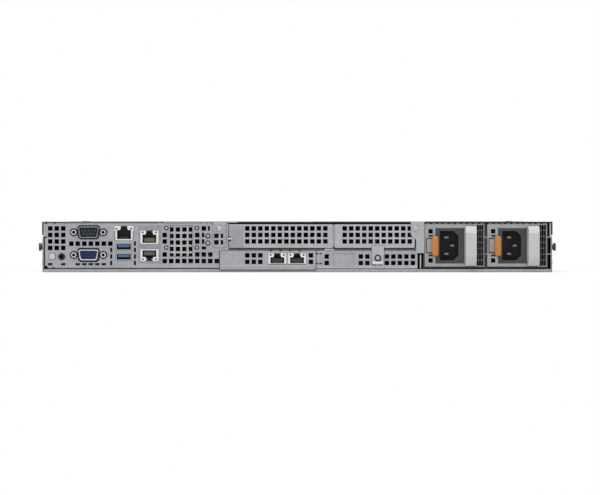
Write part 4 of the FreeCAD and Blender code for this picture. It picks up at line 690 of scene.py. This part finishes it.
# dark light windows in the corners of each shield
window = rod("window", (0, rear + 0.4, 0), -0.5, 0.85, "Y", 16, 0.15)
corners = [(-147.6 + side * 6.3, 0, 36.8) for side in (-1, 1)]
corners += [(-125.7 + side * 5.6, 0, z) for side in (-1, 1) for z in (33.7, 10.8)]
corners += [(x + side * 5.6, 0, 14.5) for x in (-17.0, -0.2) for side in (-1, 1)]
spread("socketLights", window, corners, holeBlack, "black_plastic")

# USB tongues
tongue = block("tongue", (-4.95, rear + 0.1, -0.95), (4.95, rear + 9.3, 0.95), 0.2)
tongueSpots = [(-147.5, 0, z) for z in (13.55, 22.05)]
spread("usbTongues", tongue, tongueSpots, usbBlue, "black_plastic")
print("sockets made")


# Screws with a cross recess, domes and rivets
def crossScrew(name, radius, height):
    head = rod(name, (0, 0, 0), -height, radius, "Y", 32, height * 0.42, 3)
    arm = radius * 0.62
    slotA = block("slotA", (-arm, -height - 1, -radius * 0.13), (arm, -height * 0.45, radius * 0.13))
    slotB = block("slotB", (-radius * 0.13, -height - 1, -arm), (radius * 0.13, -height * 0.45, arm))
    return carve(head, slotA, slotB)


upright = Matrix.Rotation(-math.pi / 2, 4, "X")  # from the rear wall to a top face
# black rings round the screws, painted shade of their countersinks
countersinkShade = plateSteel("countersinkShade", (0.030, 0.030, 0.033), 0.55, metal=0.2)
screwSpots = {"moduleScrews": (1.95, [(x, rear, z) for x in (-111.4, -85.4) for z in (37.4, 20.7)]),
              "panelScrews": (2.25, [(-76, rear, 30.6), (-76, rear, 24.6)]),
              "tabScrew": (2.9, [(68.45, rear - 1.0, 11.9)])}
for name, (radius, spots) in screwSpots.items():
    spread(name, crossScrew("head", radius * 0.56, 1.1), spots, nickel, "bright_steel")
    shadeRing = carve(rod("shadeRing", (0, 0, 0), -0.45, radius, "Y", 32, 0.15),
                   rod("eye", (0, 1, 0), -3, radius * 0.5, "Y", 32))
    spread(f"{name}ShadeRings", shadeRing, spots, countersinkShade, "bright_steel")


def dome(name, radius, height):
    bpy.ops.mesh.primitive_uv_sphere_add(segments=24, ring_count=12, radius=radius * mm)
    cap = settle(name)
    edit(cap)
    bpy.ops.mesh.bisect(plane_co=(0, 0, 0), plane_no=(0, 1, 0), clear_outer=True, use_fill=True)
    bpy.ops.mesh.select_all(action="SELECT")
    bpy.ops.transform.resize(value=(1, height / radius, 1))
    bpy.ops.object.mode_set(mode="OBJECT")
    return faceOutward(cap)


# pressed domes in the paler zinc of a painted highlight
domeSpots = [(-66.3, rear - 0.8, 36.8), (100.6, rear - 0.8, 36.7)]
spread("pressedDomes", dome("pressedDome", 2.4, 0.9), domeSpots, zincHighlight, "zinc_steel")

# curled lower lip of the retaining tab, painted near white as a highlight
highlightWhite = plateSteel("highlightWhite", (0.86, 0.86, 0.87), 0.4, metal=0.1)
lip = [(-1.0, 9.0), (-1.0, 7.6), (-1.5, 6.7), (-2.6, 6.3), (-3.4, 6.6), (-3.2, 7.4), (-2.4, 7.3), (-1.9, 7.8),
       (-1.6, 9.0)]
curl = prism("tabLip", [(rear + y, z) for y, z in lip], 63.6, 73.3, "X")
dress(soften(curl, 0.2), highlightWhite, "zinc_steel")

# flap pin, a black strip as painted shade in the gap under the upper slots, bay flange, slot tab with a
# painted highlight
pin = rod("flapPin", (-59.0, rear - 0.6, 28.3), 4.2, 0.85, "X", 20, 0.3, 3)
dress(pin, nickel, "bright_steel")
strips = [block("strip", (low, rear - 0.15, 19.45), (high, rear + 0.6, 20.5), 0.1)
          for low, high in ((-57.5, 23.0), (31.6, 63.2), (73.8, 99.8))]
dress(joined("slotShadeStrip", strips), holeBlack, "black_plastic")
bend = [(104.1, 0.3), (105.3, 0.3), (105.3, 12), (104.5, 12), (104.5, 1.2), (104.1, 1.2)]
flange = prism("bayFlange", [(x, rear + y) for x, y in bend], 3.0, 14.6, "Z")
dress(soften(flange, 0.1), zinc, "zinc_steel")
fold = [(-1.2, 18.6), (-0.9, 19.3), (0.3, 19.3), (0.3, 18.4), (-0.7, 18.4)]
tab = prism("slotTab", [(rear + y, z) for y, z in fold], 23.2, 31.2, "X")
dress(soften(tab, 0.15), zincHighlight, "zinc_steel")
# black pits as painted shade of small holes and notches
pit = block("pit", (-0.9, rear - 0.3, -0.55), (0.9, rear + 0.1, 0.55), 0.1, 1)
pits = [(x, 0, 18.2) for x in (-22.4, -14.2, -6.2, 1.8)]
pits += [(x, 0, z) for x in (16.9, 19.8) for z in (7.2, 15.6)]
pits += [(-213.4, 0, 41.4), (-206.2, 0, 41.5), (-213.6, 0, 29.6), (-207.3, 0, 3.5)]
spread("holeShades", pit, pits, holeBlack, "black_plastic", smooth=False)

# divider between the upper slots
divider = block("slotDivider", (30.3, rear + 0.3, 21.6), (31.6, rear + 6, 40.2), 0.25)
dress(divider, zinc, "zinc_steel")

# spring tabs along the top edge, painted near white as highlights
tabs = [block("tab", (low, rear - 0.9, 40.1), (high, rear + 0.1, 41.4), 0.3)
        for low, high in ((-118.0, -114.6), (-79.8, -77.9), (-76.1, -74.4))]
dress(joined("edgeTabs", tabs), highlightWhite, "zinc_steel")

# contact fingers along the top of the power supply bays
fingerOutline = [(-2.1, 0.0), (2.1, 0.0), (1.7, 0.75), (-1.7, 0.75)]
finger = soften(prism("finger", fingerOutline, rear + 0.9, rear + 3.4), 0.15)
fingerSpots = [(left + 2.7 + number * 5.1, 0, 40.68) for left in supplyLeft.values()
               for number in range(10)]
spread("contactFingers", finger, fingerSpots, zinc, "bright_steel")

# release latches: bent arm with eye, pin and hook, rounded touch point
latchSizes = {"low": 16.7, "high": 28.0, "pivotX": 3.4, "pivotY": rear + 40.0, "eye": 2.2, "shaft": 1.5,
              "arm": [(1.8, -2.0), (6.3, -2.0), (6.3, -0.6), (3.0, -0.6), (3.0, 39), (1.8, 39)],
              "hook": [(0.2, 14), (1.9, 14), (1.9, 20)]}
touchPaint = mouldedPlastic("touchPaint", (0.80, 0.315, 0.070), 0.40, 1600.0, 0.2, 0.03)
low, high = latchSizes["low"], latchSizes["high"]
middle = (low + high) / 2
for number, left in supplyLeft.items():
    outlines = {key: [(left + x, rear + y) for x, y in latchSizes[key]] for key in ("arm", "hook")}
    arm = soften(prism("arm", outlines["arm"], low, high, "Z"), 0.3)
    hook = soften(prism("hook", outlines["hook"], middle - 3.0, middle + 3.0, "Z"), 0.1)
    pivot = (left + latchSizes["pivotX"], latchSizes["pivotY"])
    eye = rod("eye", (*pivot, low), high - low, latchSizes["eye"], "Z", 28, 0.3)
    shaft = rod("shaft", (*pivot, 4.8), 35.6, latchSizes["shaft"], "Z", 20, 0.2)
    lever = joined(f"latchArm{number}", [arm, eye, shaft, hook])
    dress(lever, handleGrey, "grey_plastic", f"supply_{number}_latch")
    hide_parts(f"supply_{number}_latch")
    touch = block(f"latchTouch{number}", (left + 6.1, rear - 9.0, 13.4), (left + 11.8, rear - 0.6, 30.5),
                  2.2, 6)
    dress(touch, touchPaint, "orange_plastic", f"supply_{number}_latch")

# spring wires at the right edge of each supply
for number, reach in ((1, 53.1), (2, 55.0)):
    wire = rod("wire", (supplyLeft[number] + 50.4, rear - 0.3, 0), reach - 50.4, 0.3, "X", 12, 0.1)
    spread(f"springWires{number}", wire, [(0, 0, 15.3), (0, 0, 29.6)], nickel, "bright_steel",
           f"supply_{number}")

# black plates as painted shade of the finger slots over and under each release latch
notch = block("notch", (3.3, rear - 0.05, -0.75), (6.9, rear + 0.2, 0.75), 0.04, 1)
for number, left in supplyLeft.items():
    spread(f"latchSlotShades{number}", notch, [(left, 0, 30.7), (left, 0, 14.0)], holeBlack, "black_plastic",
           f"supply_{number}", smooth=False, keep=True)
discard(notch)
print("small metal made")

# Board parts under the lifting cover
chipBlack = mouldedPlastic("chipBlack", (0.016, 0.016, 0.017), 0.55, 2600.0)
chokeGrey = mouldedPlastic("chokeGrey", (0.065, 0.065, 0.070), 0.6)
socketWhite = mouldedPlastic("socketWhite", (0.62, 0.60, 0.55), 0.5)
boardTop = 6.6
# middle, width, length and height of each chip
chips = {"processor": (-150, -250, 24, 24, 2.4), "memory": (-128, -250, 11, 8, 1.2),
         "network": (-118, -287, 12, 12, 1.4), "bridge": (-182, -292, 14, 14, 1.6),
         "flash": (-168, -225, 8, 6, 1.9), "clock": (-95, -230, 7, 7, 1.0),
         "logic": (-190, -180, 10, 10, 1.4), "driver": (30, -120, 9, 9, 1.2),
         "watch": (70, -150, 7, 5, 1.2), "gate": (-60, -120, 8, 8, 1.2),
         "left": (-130, -130, 14, 10, 1.4), "right": (150, -104, 14, 10, 1.4)}
chipBodies = []
for name, (x, y, wide, long, tall) in chips.items():
    low = (x - wide / 2, y - long / 2, boardTop)
    high = (x + wide / 2, y + long / 2, boardTop + tall)
    chipBodies.append(insetTop(block(name, low, high, 0.35), (0.8, -0.12)))
dress(joined("boardChips", chipBodies), chipBlack, "black_plastic")

leg = block("leg", (-0.2, 0, boardTop), (0.2, 1.6, boardTop + 0.5), 0.08)
legs = []
for x, y, wide, long, tall in chips.values():
    count = int(wide / 1.4)
    for number in range(count):
        step = (number - (count - 1) / 2) * 1.3
        for turn in range(4):
            reach = (long if turn % 2 == 0 else wide) / 2 - 0.2
            if turn % 2 and long < wide:
                continue
            legs.append(at(x, y, 0) @ Matrix.Rotation(turn * math.pi / 2, 4, "Z") @ at(step, reach, 0))
spread("chipLegs", leg, legs, nickel, "bright_steel", smooth=False)

canSizes = {"radius": 3.2, "height": 8.5, "baseRadius": 3.7, "baseHeight": 1.4}
can = rod("can", (0, 0, boardTop), canSizes["height"], canSizes["radius"], "Z", 20, 0.5, 3)
canSpots = [(x, y, 0) for y in (-92, -84) for x in range(-196, 200, 28)]
canSpots += [(x, 84, 0) for x in range(-182, 190, 28)]
canSpots += [(-200, y, 0) for y in range(-270, -120, 22)]
spread("boardCans", can, canSpots, nickel, "aluminium")
base = rod("base", (0, 0, boardTop), canSizes["baseHeight"], canSizes["baseRadius"], "Z", 20, 0.3)
spread("canBases", base, canSpots, chipBlack, "black_plastic")

choke = block("choke", (-4.6, -4.6, boardTop), (4.6, 4.6, boardTop + 5.6), 0.9, 3)
chokeSpots = [(x, 98, 0) for x in range(-190, 200, 20)] + [(x, -106, 0) for x in range(-90, 20, 18)]
spread("boardChokes", choke, chokeSpots, chokeGrey, "black_plastic")

tiny = block("tiny", (-0.9, -0.5, boardTop), (0.9, 0.5, boardTop + 0.7), 0.12, 1)
dice = random.Random(7)
scatter = []
for number in range(260):
    x, y = dice.uniform(-205, 60), dice.uniform(-300, -80)
    clear = all(abs(x - chipX) > wide / 2 + 3 or abs(y - chipY) > long / 2 + 3
                for chipX, chipY, wide, long, tall in chips.values())
    if clear and (x < -76 or 20 < x and y > -230):
        turn = dice.choice((0, math.pi / 2))
        scatter.append(at(round(x / 2) * 2, round(y / 2) * 2, 0) @ Matrix.Rotation(turn, 4, "Z"))
spread("boardSmallParts", tiny, scatter, contactBed, "grey_plastic", smooth=False)


def finSink(name, x, y, z, wide, long, high, count):
    plate = block(name, (x - wide / 2, y - long / 2, z), (x + wide / 2, y + long / 2, z + 2.5), 0.3)
    fin = block("fin", (-0.45, y - long / 2, z + 2.4), (0.45, y + long / 2, z + high), 0.15, 1)
    fins = spread("fins", fin, [(x + (number - (count - 1) / 2) * (wide - 2) / (count - 1), 0, 0)
                                for number in range(count)])
    return joined(name, [plate, fins])


dress(finSink("bridgeSink", -15, -165, boardTop + 2.2, 42, 42, 15, 12), finStock, "aluminium")
bridgeChip = block("bridgeChip", (-30, -180, boardTop), (0, -150, boardTop + 2.3), 0.3)
dress(bridgeChip, chipBlack, "black_plastic")
dress(finSink("cardSink", -27.5, rear + 62.5, boardTop + 9, 27, 27, 8, 9), finStock, "aluminium")
cardSocket = block("cardSocket", (-55.6, rear + 83.4, boardTop), (5.6, rear + 92.6, boardTop + 9.6), 0.5)
slit = block("slit", (-52, rear + 87.2, boardTop + 9.1), (2, rear + 88.8, boardTop + 12))
dress(carve(cardSocket, slit), chipBlack, "black_plastic")
cap = block("cap", (7.4, rear + 188.4, 12.4), (42.6, rear + 210.4, 13.2), 0.3)
capSpots = [(left, 0, 0) for left in supplyLeft.values()]
spread("powerSocketCaps", cap, capSpots, chipBlack, "black_plastic")

# air shroud: ribbed lid with rounded windows and lifting holes
shroudSizes = {"edge": 205.0, "wall": 1.6, "low": 40.1, "high": 41.2, "half": 75.0, "windowX": 107.0}
edge, low, high, half = (shroudSizes[key] for key in ("edge", "low", "high", "half"))
inner = edge - shroudSizes["wall"]
profile = [(-edge, boardTop), (-inner, boardTop), (-inner, low), (inner, low), (inner, boardTop),
           (edge, boardTop), (edge, high), (-edge, high)]
shroud = soften(prism("airShroud", profile, -half, half), 0.35)
fields = spread("fields", block("field", (-22, -22.5, high - 0.45), (22, 22.5, high + 2), 0.8, 2),
                [(x, y, 0) for x in range(-175, 200, 50) for y in (-47.5, 0, 47.5)])
windows = spread("windows", block("window", (-35, -4.5, low - 3), (35, 4.5, high + 3), 1.6, 3),
                 [(side * shroudSizes["windowX"], y, 0) for side in (-1, 1) for y in (-30, 30)])
grips = spread("grips", rod("grip", (0, 0, low - 3), 8, 9, "Z", 32), [(-25, 0, 0), (25, 0, 0)])
dress(carve(shroud, fields, windows, grips), shroudBlack, "black_plastic")
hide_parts("air_shroud")
collar = carve(rod("collar", (0, 0, high - 0.6), 0.6, 11.5, "Z", 40, 0.2),
               rod("bore", (0, 0, low - 3), 9, 9, "Z", 40))
spread("shroudCollars", collar, [(-25, 0, 0), (25, 0, 0)], latchBlue, "blue_plastic")

# tops of the power supplies: flat screws, and black discs as painted shade of a field of air holes
supplyTop = {"poreRadius": 1.3, "firstX": 10, "firstY": 12, "stepX": 3.4, "stepY": 3.0, "columns": 9,
             "rows": 8, "poreZ": 40.45, "screws": [(x, y, 40.16) for x in (5, 45.6) for y in (8, 95, 178)]}
stepX, stepY = supplyTop["stepX"], supplyTop["stepY"]
pore = rod("pore", (0, 0, supplyTop["poreZ"]), 0.2, supplyTop["poreRadius"], "Z", 6)
lidScrew = crossScrew("lidScrew", 1.9, 0.5)
for number, left in supplyLeft.items():
    firstX, firstY = left + supplyTop["firstX"], rear + supplyTop["firstY"]
    holes = [(firstX + column * stepX + (row % 2) * stepX / 2, firstY + row * stepY, 0)
             for row in range(supplyTop["rows"]) for column in range(supplyTop["columns"])]
    spread(f"supplyPoreShades{number}", pore, holes, holeBlack, "black_plastic", f"supply_{number}",
           smooth=False, keep=True)
    spots = [at(left + x, rear + y, z) @ upright for x, y, z in supplyTop["screws"]]
    spread(f"supplyScrews{number}", lidScrew, spots, nickel, "bright_steel", f"supply_{number}", keep=True)
discard(pore)

# slot connectors of the riser, power and signal headers, coin cell
slotShell = carve(block("riserSlots", (-68.6, rear + 29.4, 23.4), (-59.2, rear + 116.6, 33.6), 0.5),
                  block("groove", (-59.8, rear + 33, 27.7), (-56, rear + 113, 29.3)))
dress(slotShell, chipBlack, "black_plastic")
shell = block("header", (-11, -4.5, boardTop), (11, 4.5, boardTop + 11), 0.5)
wells = spread("wells", block("well", (-1.5, -1.5, boardTop + 3), (1.5, 1.5, boardTop + 12), 0.2, 1),
               [(x * 4.2, y * 4.2 - 2.1, 0) for x in (-2, -1, 0, 1, 2) for y in (0, 1)])
headerSpots = [(92, -122, 0), (62, -122, 0), (-170, -122, 0)]
spread("powerHeaders", carve(shell, wells), headerSpots, socketWhite, "white_plastic")
plug = carve(block("plugShell", (-9, -3.2, boardTop), (9, 3.2, boardTop + 8), 0.4),
             block("slit", (-7, -1.2, boardTop + 2), (7, 1.2, boardTop + 9)))
spread("dataSockets", plug, [(x, -119, 0) for x in (124, 146, 168, 190)], chipBlack, "black_plastic")
cellSizes = {"place": (-105, -190), "radius": 10, "height": 3.2, "cradle": 11.6, "seat": 10.1}
place = cellSizes["place"]
cell = rod("coinCell", (*place, boardTop + 1.4), cellSizes["height"], cellSizes["radius"], "Z", 40, 0.6, 3)
dress(cell, nickel, "bright_steel")
cradle = carve(rod("cellCradle", (*place, boardTop), 3.6, cellSizes["cradle"], "Z", 40, 0.4),
               rod("seat", (*place, boardTop + 1.3), 6, cellSizes["seat"], "Z", 40))
dress(cradle, chipBlack, "black_plastic")
boardSpots = [(x, y) for x in (-190, 0, 190) for y in (-100, 95)]
boardSpots += [(x, y) for x in (-200, -90) for y in (-320.5, -245.5)]
boardSpots = [at(x, y, boardTop) @ upright for x, y in boardSpots]
spread("boardScrews", crossScrew("boardScrew", 2.9, 1.6), boardSpots, nickel, "bright_steel")
print("board parts made")

# rolled rims of the pressed fields in the top cover
lidFields = {"x": 104.0, "rows": (-235.0, -45.0), "wide": 180.0, "long": 170.0, "rim": 2.6, "low": 42.38,
             "high": 43.1}
halfX, halfY, rim = lidFields["wide"] / 2, lidFields["long"] / 2, lidFields["rim"]
bead = carve(block("bead", (-halfX, -halfY, lidFields["low"]), (halfX, halfY, lidFields["high"])),
             block("floor", (rim - halfX, rim - halfY, 40), (halfX - rim, halfY - rim, 44)))
rimSpots = [(side * lidFields["x"], y, 0) for side in (-1, 1) for y in lidFields["rows"]]
spread("coverRims", soften(bead, 0.6, 3), rimSpots, zincCover, "zinc_steel", "top_cover")

# finger ribs on the cover latch
ribSizes = {"rib": [(-33, 0, 42.3), (33, 0.9, 42.72)], "first": 87.2, "step": 1.9, "count": 5}
grip = block("grip", *ribSizes["rib"], 0.25)
ribSpots = [(0, ribSizes["first"] + number * ribSizes["step"], 0) for number in range(ribSizes["count"])]
spread("latchRibs", grip, ribSpots, latchBlue, "blue_plastic", "cover_latch")

# front: release buttons, light pipes and lids of the drives, placed from the middle of a bay
driveSizes = {"button": [(46.6, 357.8, 11.0), (51.4, 363.2, 21.6)], "grooves": (13.4, 15.1, 16.8, 18.5),
              "pipe": [(46.8, 357.6, 0), (51.2, 358.5, 1.5)], "lights": (25.0, 27.6),
              "lid": [(-44, 206, 29.1), (44, 336, 29.5)], "spindle": [(-4, 288, 29.2)],
              "hub": [(26, 226, 29.2)],
              "screws": [(x, y, 29.3) for x in (-41.4, 41.4) for y in (208.6, 271, 333.4)]}
touchOrange = mouldedPlastic("touchOrange", (0.66, 0.265, 0.075), 0.42)
lightPipe = mouldedPlastic("lightPipe", (0.45, 0.52, 0.46), 0.2, 2600.0, 0.05)
for number, middle in bayMiddle.items():
    sizes = {key: [(middle + spot[0], *spot[1:]) for spot in driveSizes[key]]
             for key in ("button", "pipe", "lid", "spindle", "hub", "screws")}
    button = block(f"releaseButton{number}", *sizes["button"], 1.1, 4)
    grooves = [block("groove", (middle + 46, 362.9, z), (middle + 52, 364, z + 0.7))
               for z in driveSizes["grooves"]]
    dress(carve(button, *grooves), touchOrange, "orange_plastic", f"drive_{number}")
    pipe = block("pipe", *sizes["pipe"], 0.45, 3)
    spots = [(0, 0, z) for z in driveSizes["lights"]]
    spread(f"driveLights{number}", pipe, spots, lightPipe, "white_plastic", f"drive_{number}")
    lid = block(f"driveLid{number}", *sizes["lid"], 0.12, 1)
    insetTop(lid, (5, 0.0), (0.8, -0.16), (3, 0.0), (0.6, 0.10))
    cap = rod("spindle", *sizes["spindle"], 0.36, 17, "Z", 48, 0.1)
    insetTop(cap, (3, 0.0), (0.5, -0.1))
    hub = rod("hub", *sizes["hub"], 0.34, 8, "Z", 32, 0.1)
    insetTop(hub, (2, 0.0), (0.4, -0.08))
    dress(joined(f"driveLid{number}", [lid, cap, hub]), lidAlloy, "aluminium", f"drive_{number}")
    spots = [at(*spot) @ upright for spot in sizes["screws"]]
    spread(f"lidScrews{number}", lidScrew, spots, nickel, "bright_steel", f"drive_{number}", keep=True)
discard(lidScrew)

# foam filter behind the vent strip, foam seals over the carriers
filterFoam = mouldedPlastic("filterFoam", (0.010, 0.010, 0.011), 0.95, 900.0, 0.9, 0.02)
foamSizes = {"filter": [(-213.6, 338.4, 32.5), (213.6, 343.1, 41.4)],
             "seal": [(-52.5, 340.4, 30.1), (52.5, 343.0, 31.35)]}
dress(block("dustFilter", *foamSizes["filter"], 0.6), filterFoam, "black_plastic")
seal = block("seal", *foamSizes["seal"], 0.3)
sealSpots = [(middle, 0, 0) for middle in bayMiddle.values()]
spread("baySeals", seal, sealSpots, filterFoam, "black_plastic")

# ears: status lights, power ring, leg screws; rivets along the walls in the paler zinc of a painted highlight
earSizes = {"x": 225.2, "lights": (15.4, 21.3, 27.2), "rightLight": 29.6, "powerZ": 21.4, "ring": 5.6,
            "bore": 4.6}
earX, powerZ = earSizes["x"], earSizes["powerZ"]
pill = block("pill", (-0.9, 364.2, -1.6), (0.9, 364.8, 1.6), 0.4, 3)
lightSpots = [(-earX, 0, z) for z in earSizes["lights"]] + [(earX, 0, earSizes["rightLight"])]
spread("earLights", pill, lightSpots, lightPipe, "white_plastic")
ring = carve(rod("powerRing", (earX, 364.3, powerZ), 0.7, earSizes["ring"], "Y", 40, 0.25, 3),
             rod("eye", (earX, 363, powerZ), 4, earSizes["bore"], "Y", 40))
dress(ring, nickel, "bright_steel")
sideways = {1: Matrix.Rotation(math.pi / 2, 4, "Z"), -1: Matrix.Rotation(-math.pi / 2, 4, "Z")}
earSpots = [at(side * 218.1, y, 16) @ sideways[side] for side in (-1, 1) for y in (316.5, 332.5)]
spread("earScrews", crossScrew("earScrew", 2.6, 0.9), earSpots, nickel, "bright_steel")
rivetSpots = [at(side * 216.6, y, z) @ sideways[side]
              for side in (-1, 1) for y in (-320, -150, 40, 146, 200, 290) for z in (8, 24)]
spread("wallRivets", dome("rivet", 1.9, 0.6), rivetSpots, zincHighlight, "zinc_steel")
print("front and sides made")


# Stage: floor, backdrop, lamps and camera
stageSizes = {"floor": 1.6, "fadeFrom": 0.62, "fadeTo": 1.25, "cameraDistance": 5.0, "viewWidth": 0.510,
              "viewX": 0.0023, "viewZ": 0.0208, "skyLight": 0.42, "floorLift": 0.44, "sensor": 36.0}


# white where it is seen, straight or in a reflection, and still darker where the object shades it
def floorFinish():
    white = Finish("floorWhite", colour=(0.86, 0.86, 0.86), roughness=0.9, specular=0.1,
                   emissionStrength=1.0)
    seen = 0.0
    for ray in ("Is Camera Ray", "Is Glossy Ray", "Is Transmission Ray"):
        seen = seen + white.add("ShaderNodeLightPath", out=ray)
    lift = white.span(seen, 0.0, 1.0, 0.0, stageSizes["floorLift"])
    x, y, z = white.axes()
    away = (x * x + y * y).calc("SQRT")
    white.set(emission=white.add("ShaderNodeCombineColor", {}, {0: lift, 1: lift, 2: lift}),
              alpha=white.span(away, stageSizes["fadeFrom"], stageSizes["fadeTo"], 1.0, 0.0))
    return white.material


bpy.ops.mesh.primitive_plane_add(size=stageSizes["floor"] * 2, location=(0, 0, -0.0004))
floor = bpy.context.object
floor.name = "floor"
floor.data.materials.append(floorFinish())

world = bpy.data.worlds.new("studioWhite")
bpy.context.scene.world = world
world.use_nodes = True
sky = world.node_tree
path = sky.nodes.new("ShaderNodeLightPath")
seen = path.outputs["Is Camera Ray"]
for ray in ("Is Glossy Ray", "Is Transmission Ray"):
    either = sky.nodes.new("ShaderNodeMath")
    either.operation = "MAXIMUM"
    sky.links.new(seen, either.inputs[0])
    sky.links.new(path.outputs[ray], either.inputs[1])
    seen = either.outputs[0]
level = sky.nodes.new("ShaderNodeMapRange")
level.inputs["To Min"].default_value = stageSizes["skyLight"]
sky.links.new(seen, level.inputs["Value"])
sky.links.new(level.outputs[0], sky.nodes["Background"].inputs["Strength"])
sky.nodes["Background"].inputs["Color"].default_value = (1, 1, 1, 1)


def softLamp(name, place, target, size, power):
    data = bpy.data.lights.new(name, "AREA")
    data.shape = "RECTANGLE"
    data.size, data.size_y = size
    data.energy = power
    lamp = bpy.data.objects.new(name, data)
    lamp.location = place
    lamp.rotation_euler = (Vector(target) - Vector(place)).to_track_quat("-Z", "Y").to_euler()
    bpy.context.collection.objects.link(lamp)


# place, target, size and power
lamps = {"keyLamp": ((-0.7, -1.5, 2.1), (0, -0.25, 0), (1.3, 0.9), 13),
         "fillLamp": ((1.6, -2.0, 0.9), (0, -0.1, 0), (1.2, 1.0), 4),
         "topLamp": ((0, 0.4, 2.4), (0, 0.1, 0), (2.2, 2.2), 7)}
for name, values in lamps.items():
    softLamp(name, *values)

cameraData = bpy.data.cameras.new("rearView")
camera = bpy.data.objects.new("rearView", cameraData)
bpy.context.collection.objects.link(camera)
camera.location = (stageSizes["viewX"], rear * mm - stageSizes["cameraDistance"], stageSizes["viewZ"])
camera.rotation_euler = (math.pi / 2, 0, 0)
cameraData.sensor_width = stageSizes["sensor"]
cameraData.lens = stageSizes["sensor"] * stageSizes["cameraDistance"] / stageSizes["viewWidth"]
cameraData.clip_end = 50
bpy.context.scene.camera = camera
bpy.context.scene.view_settings.view_transform = "Standard"
print("stage set")
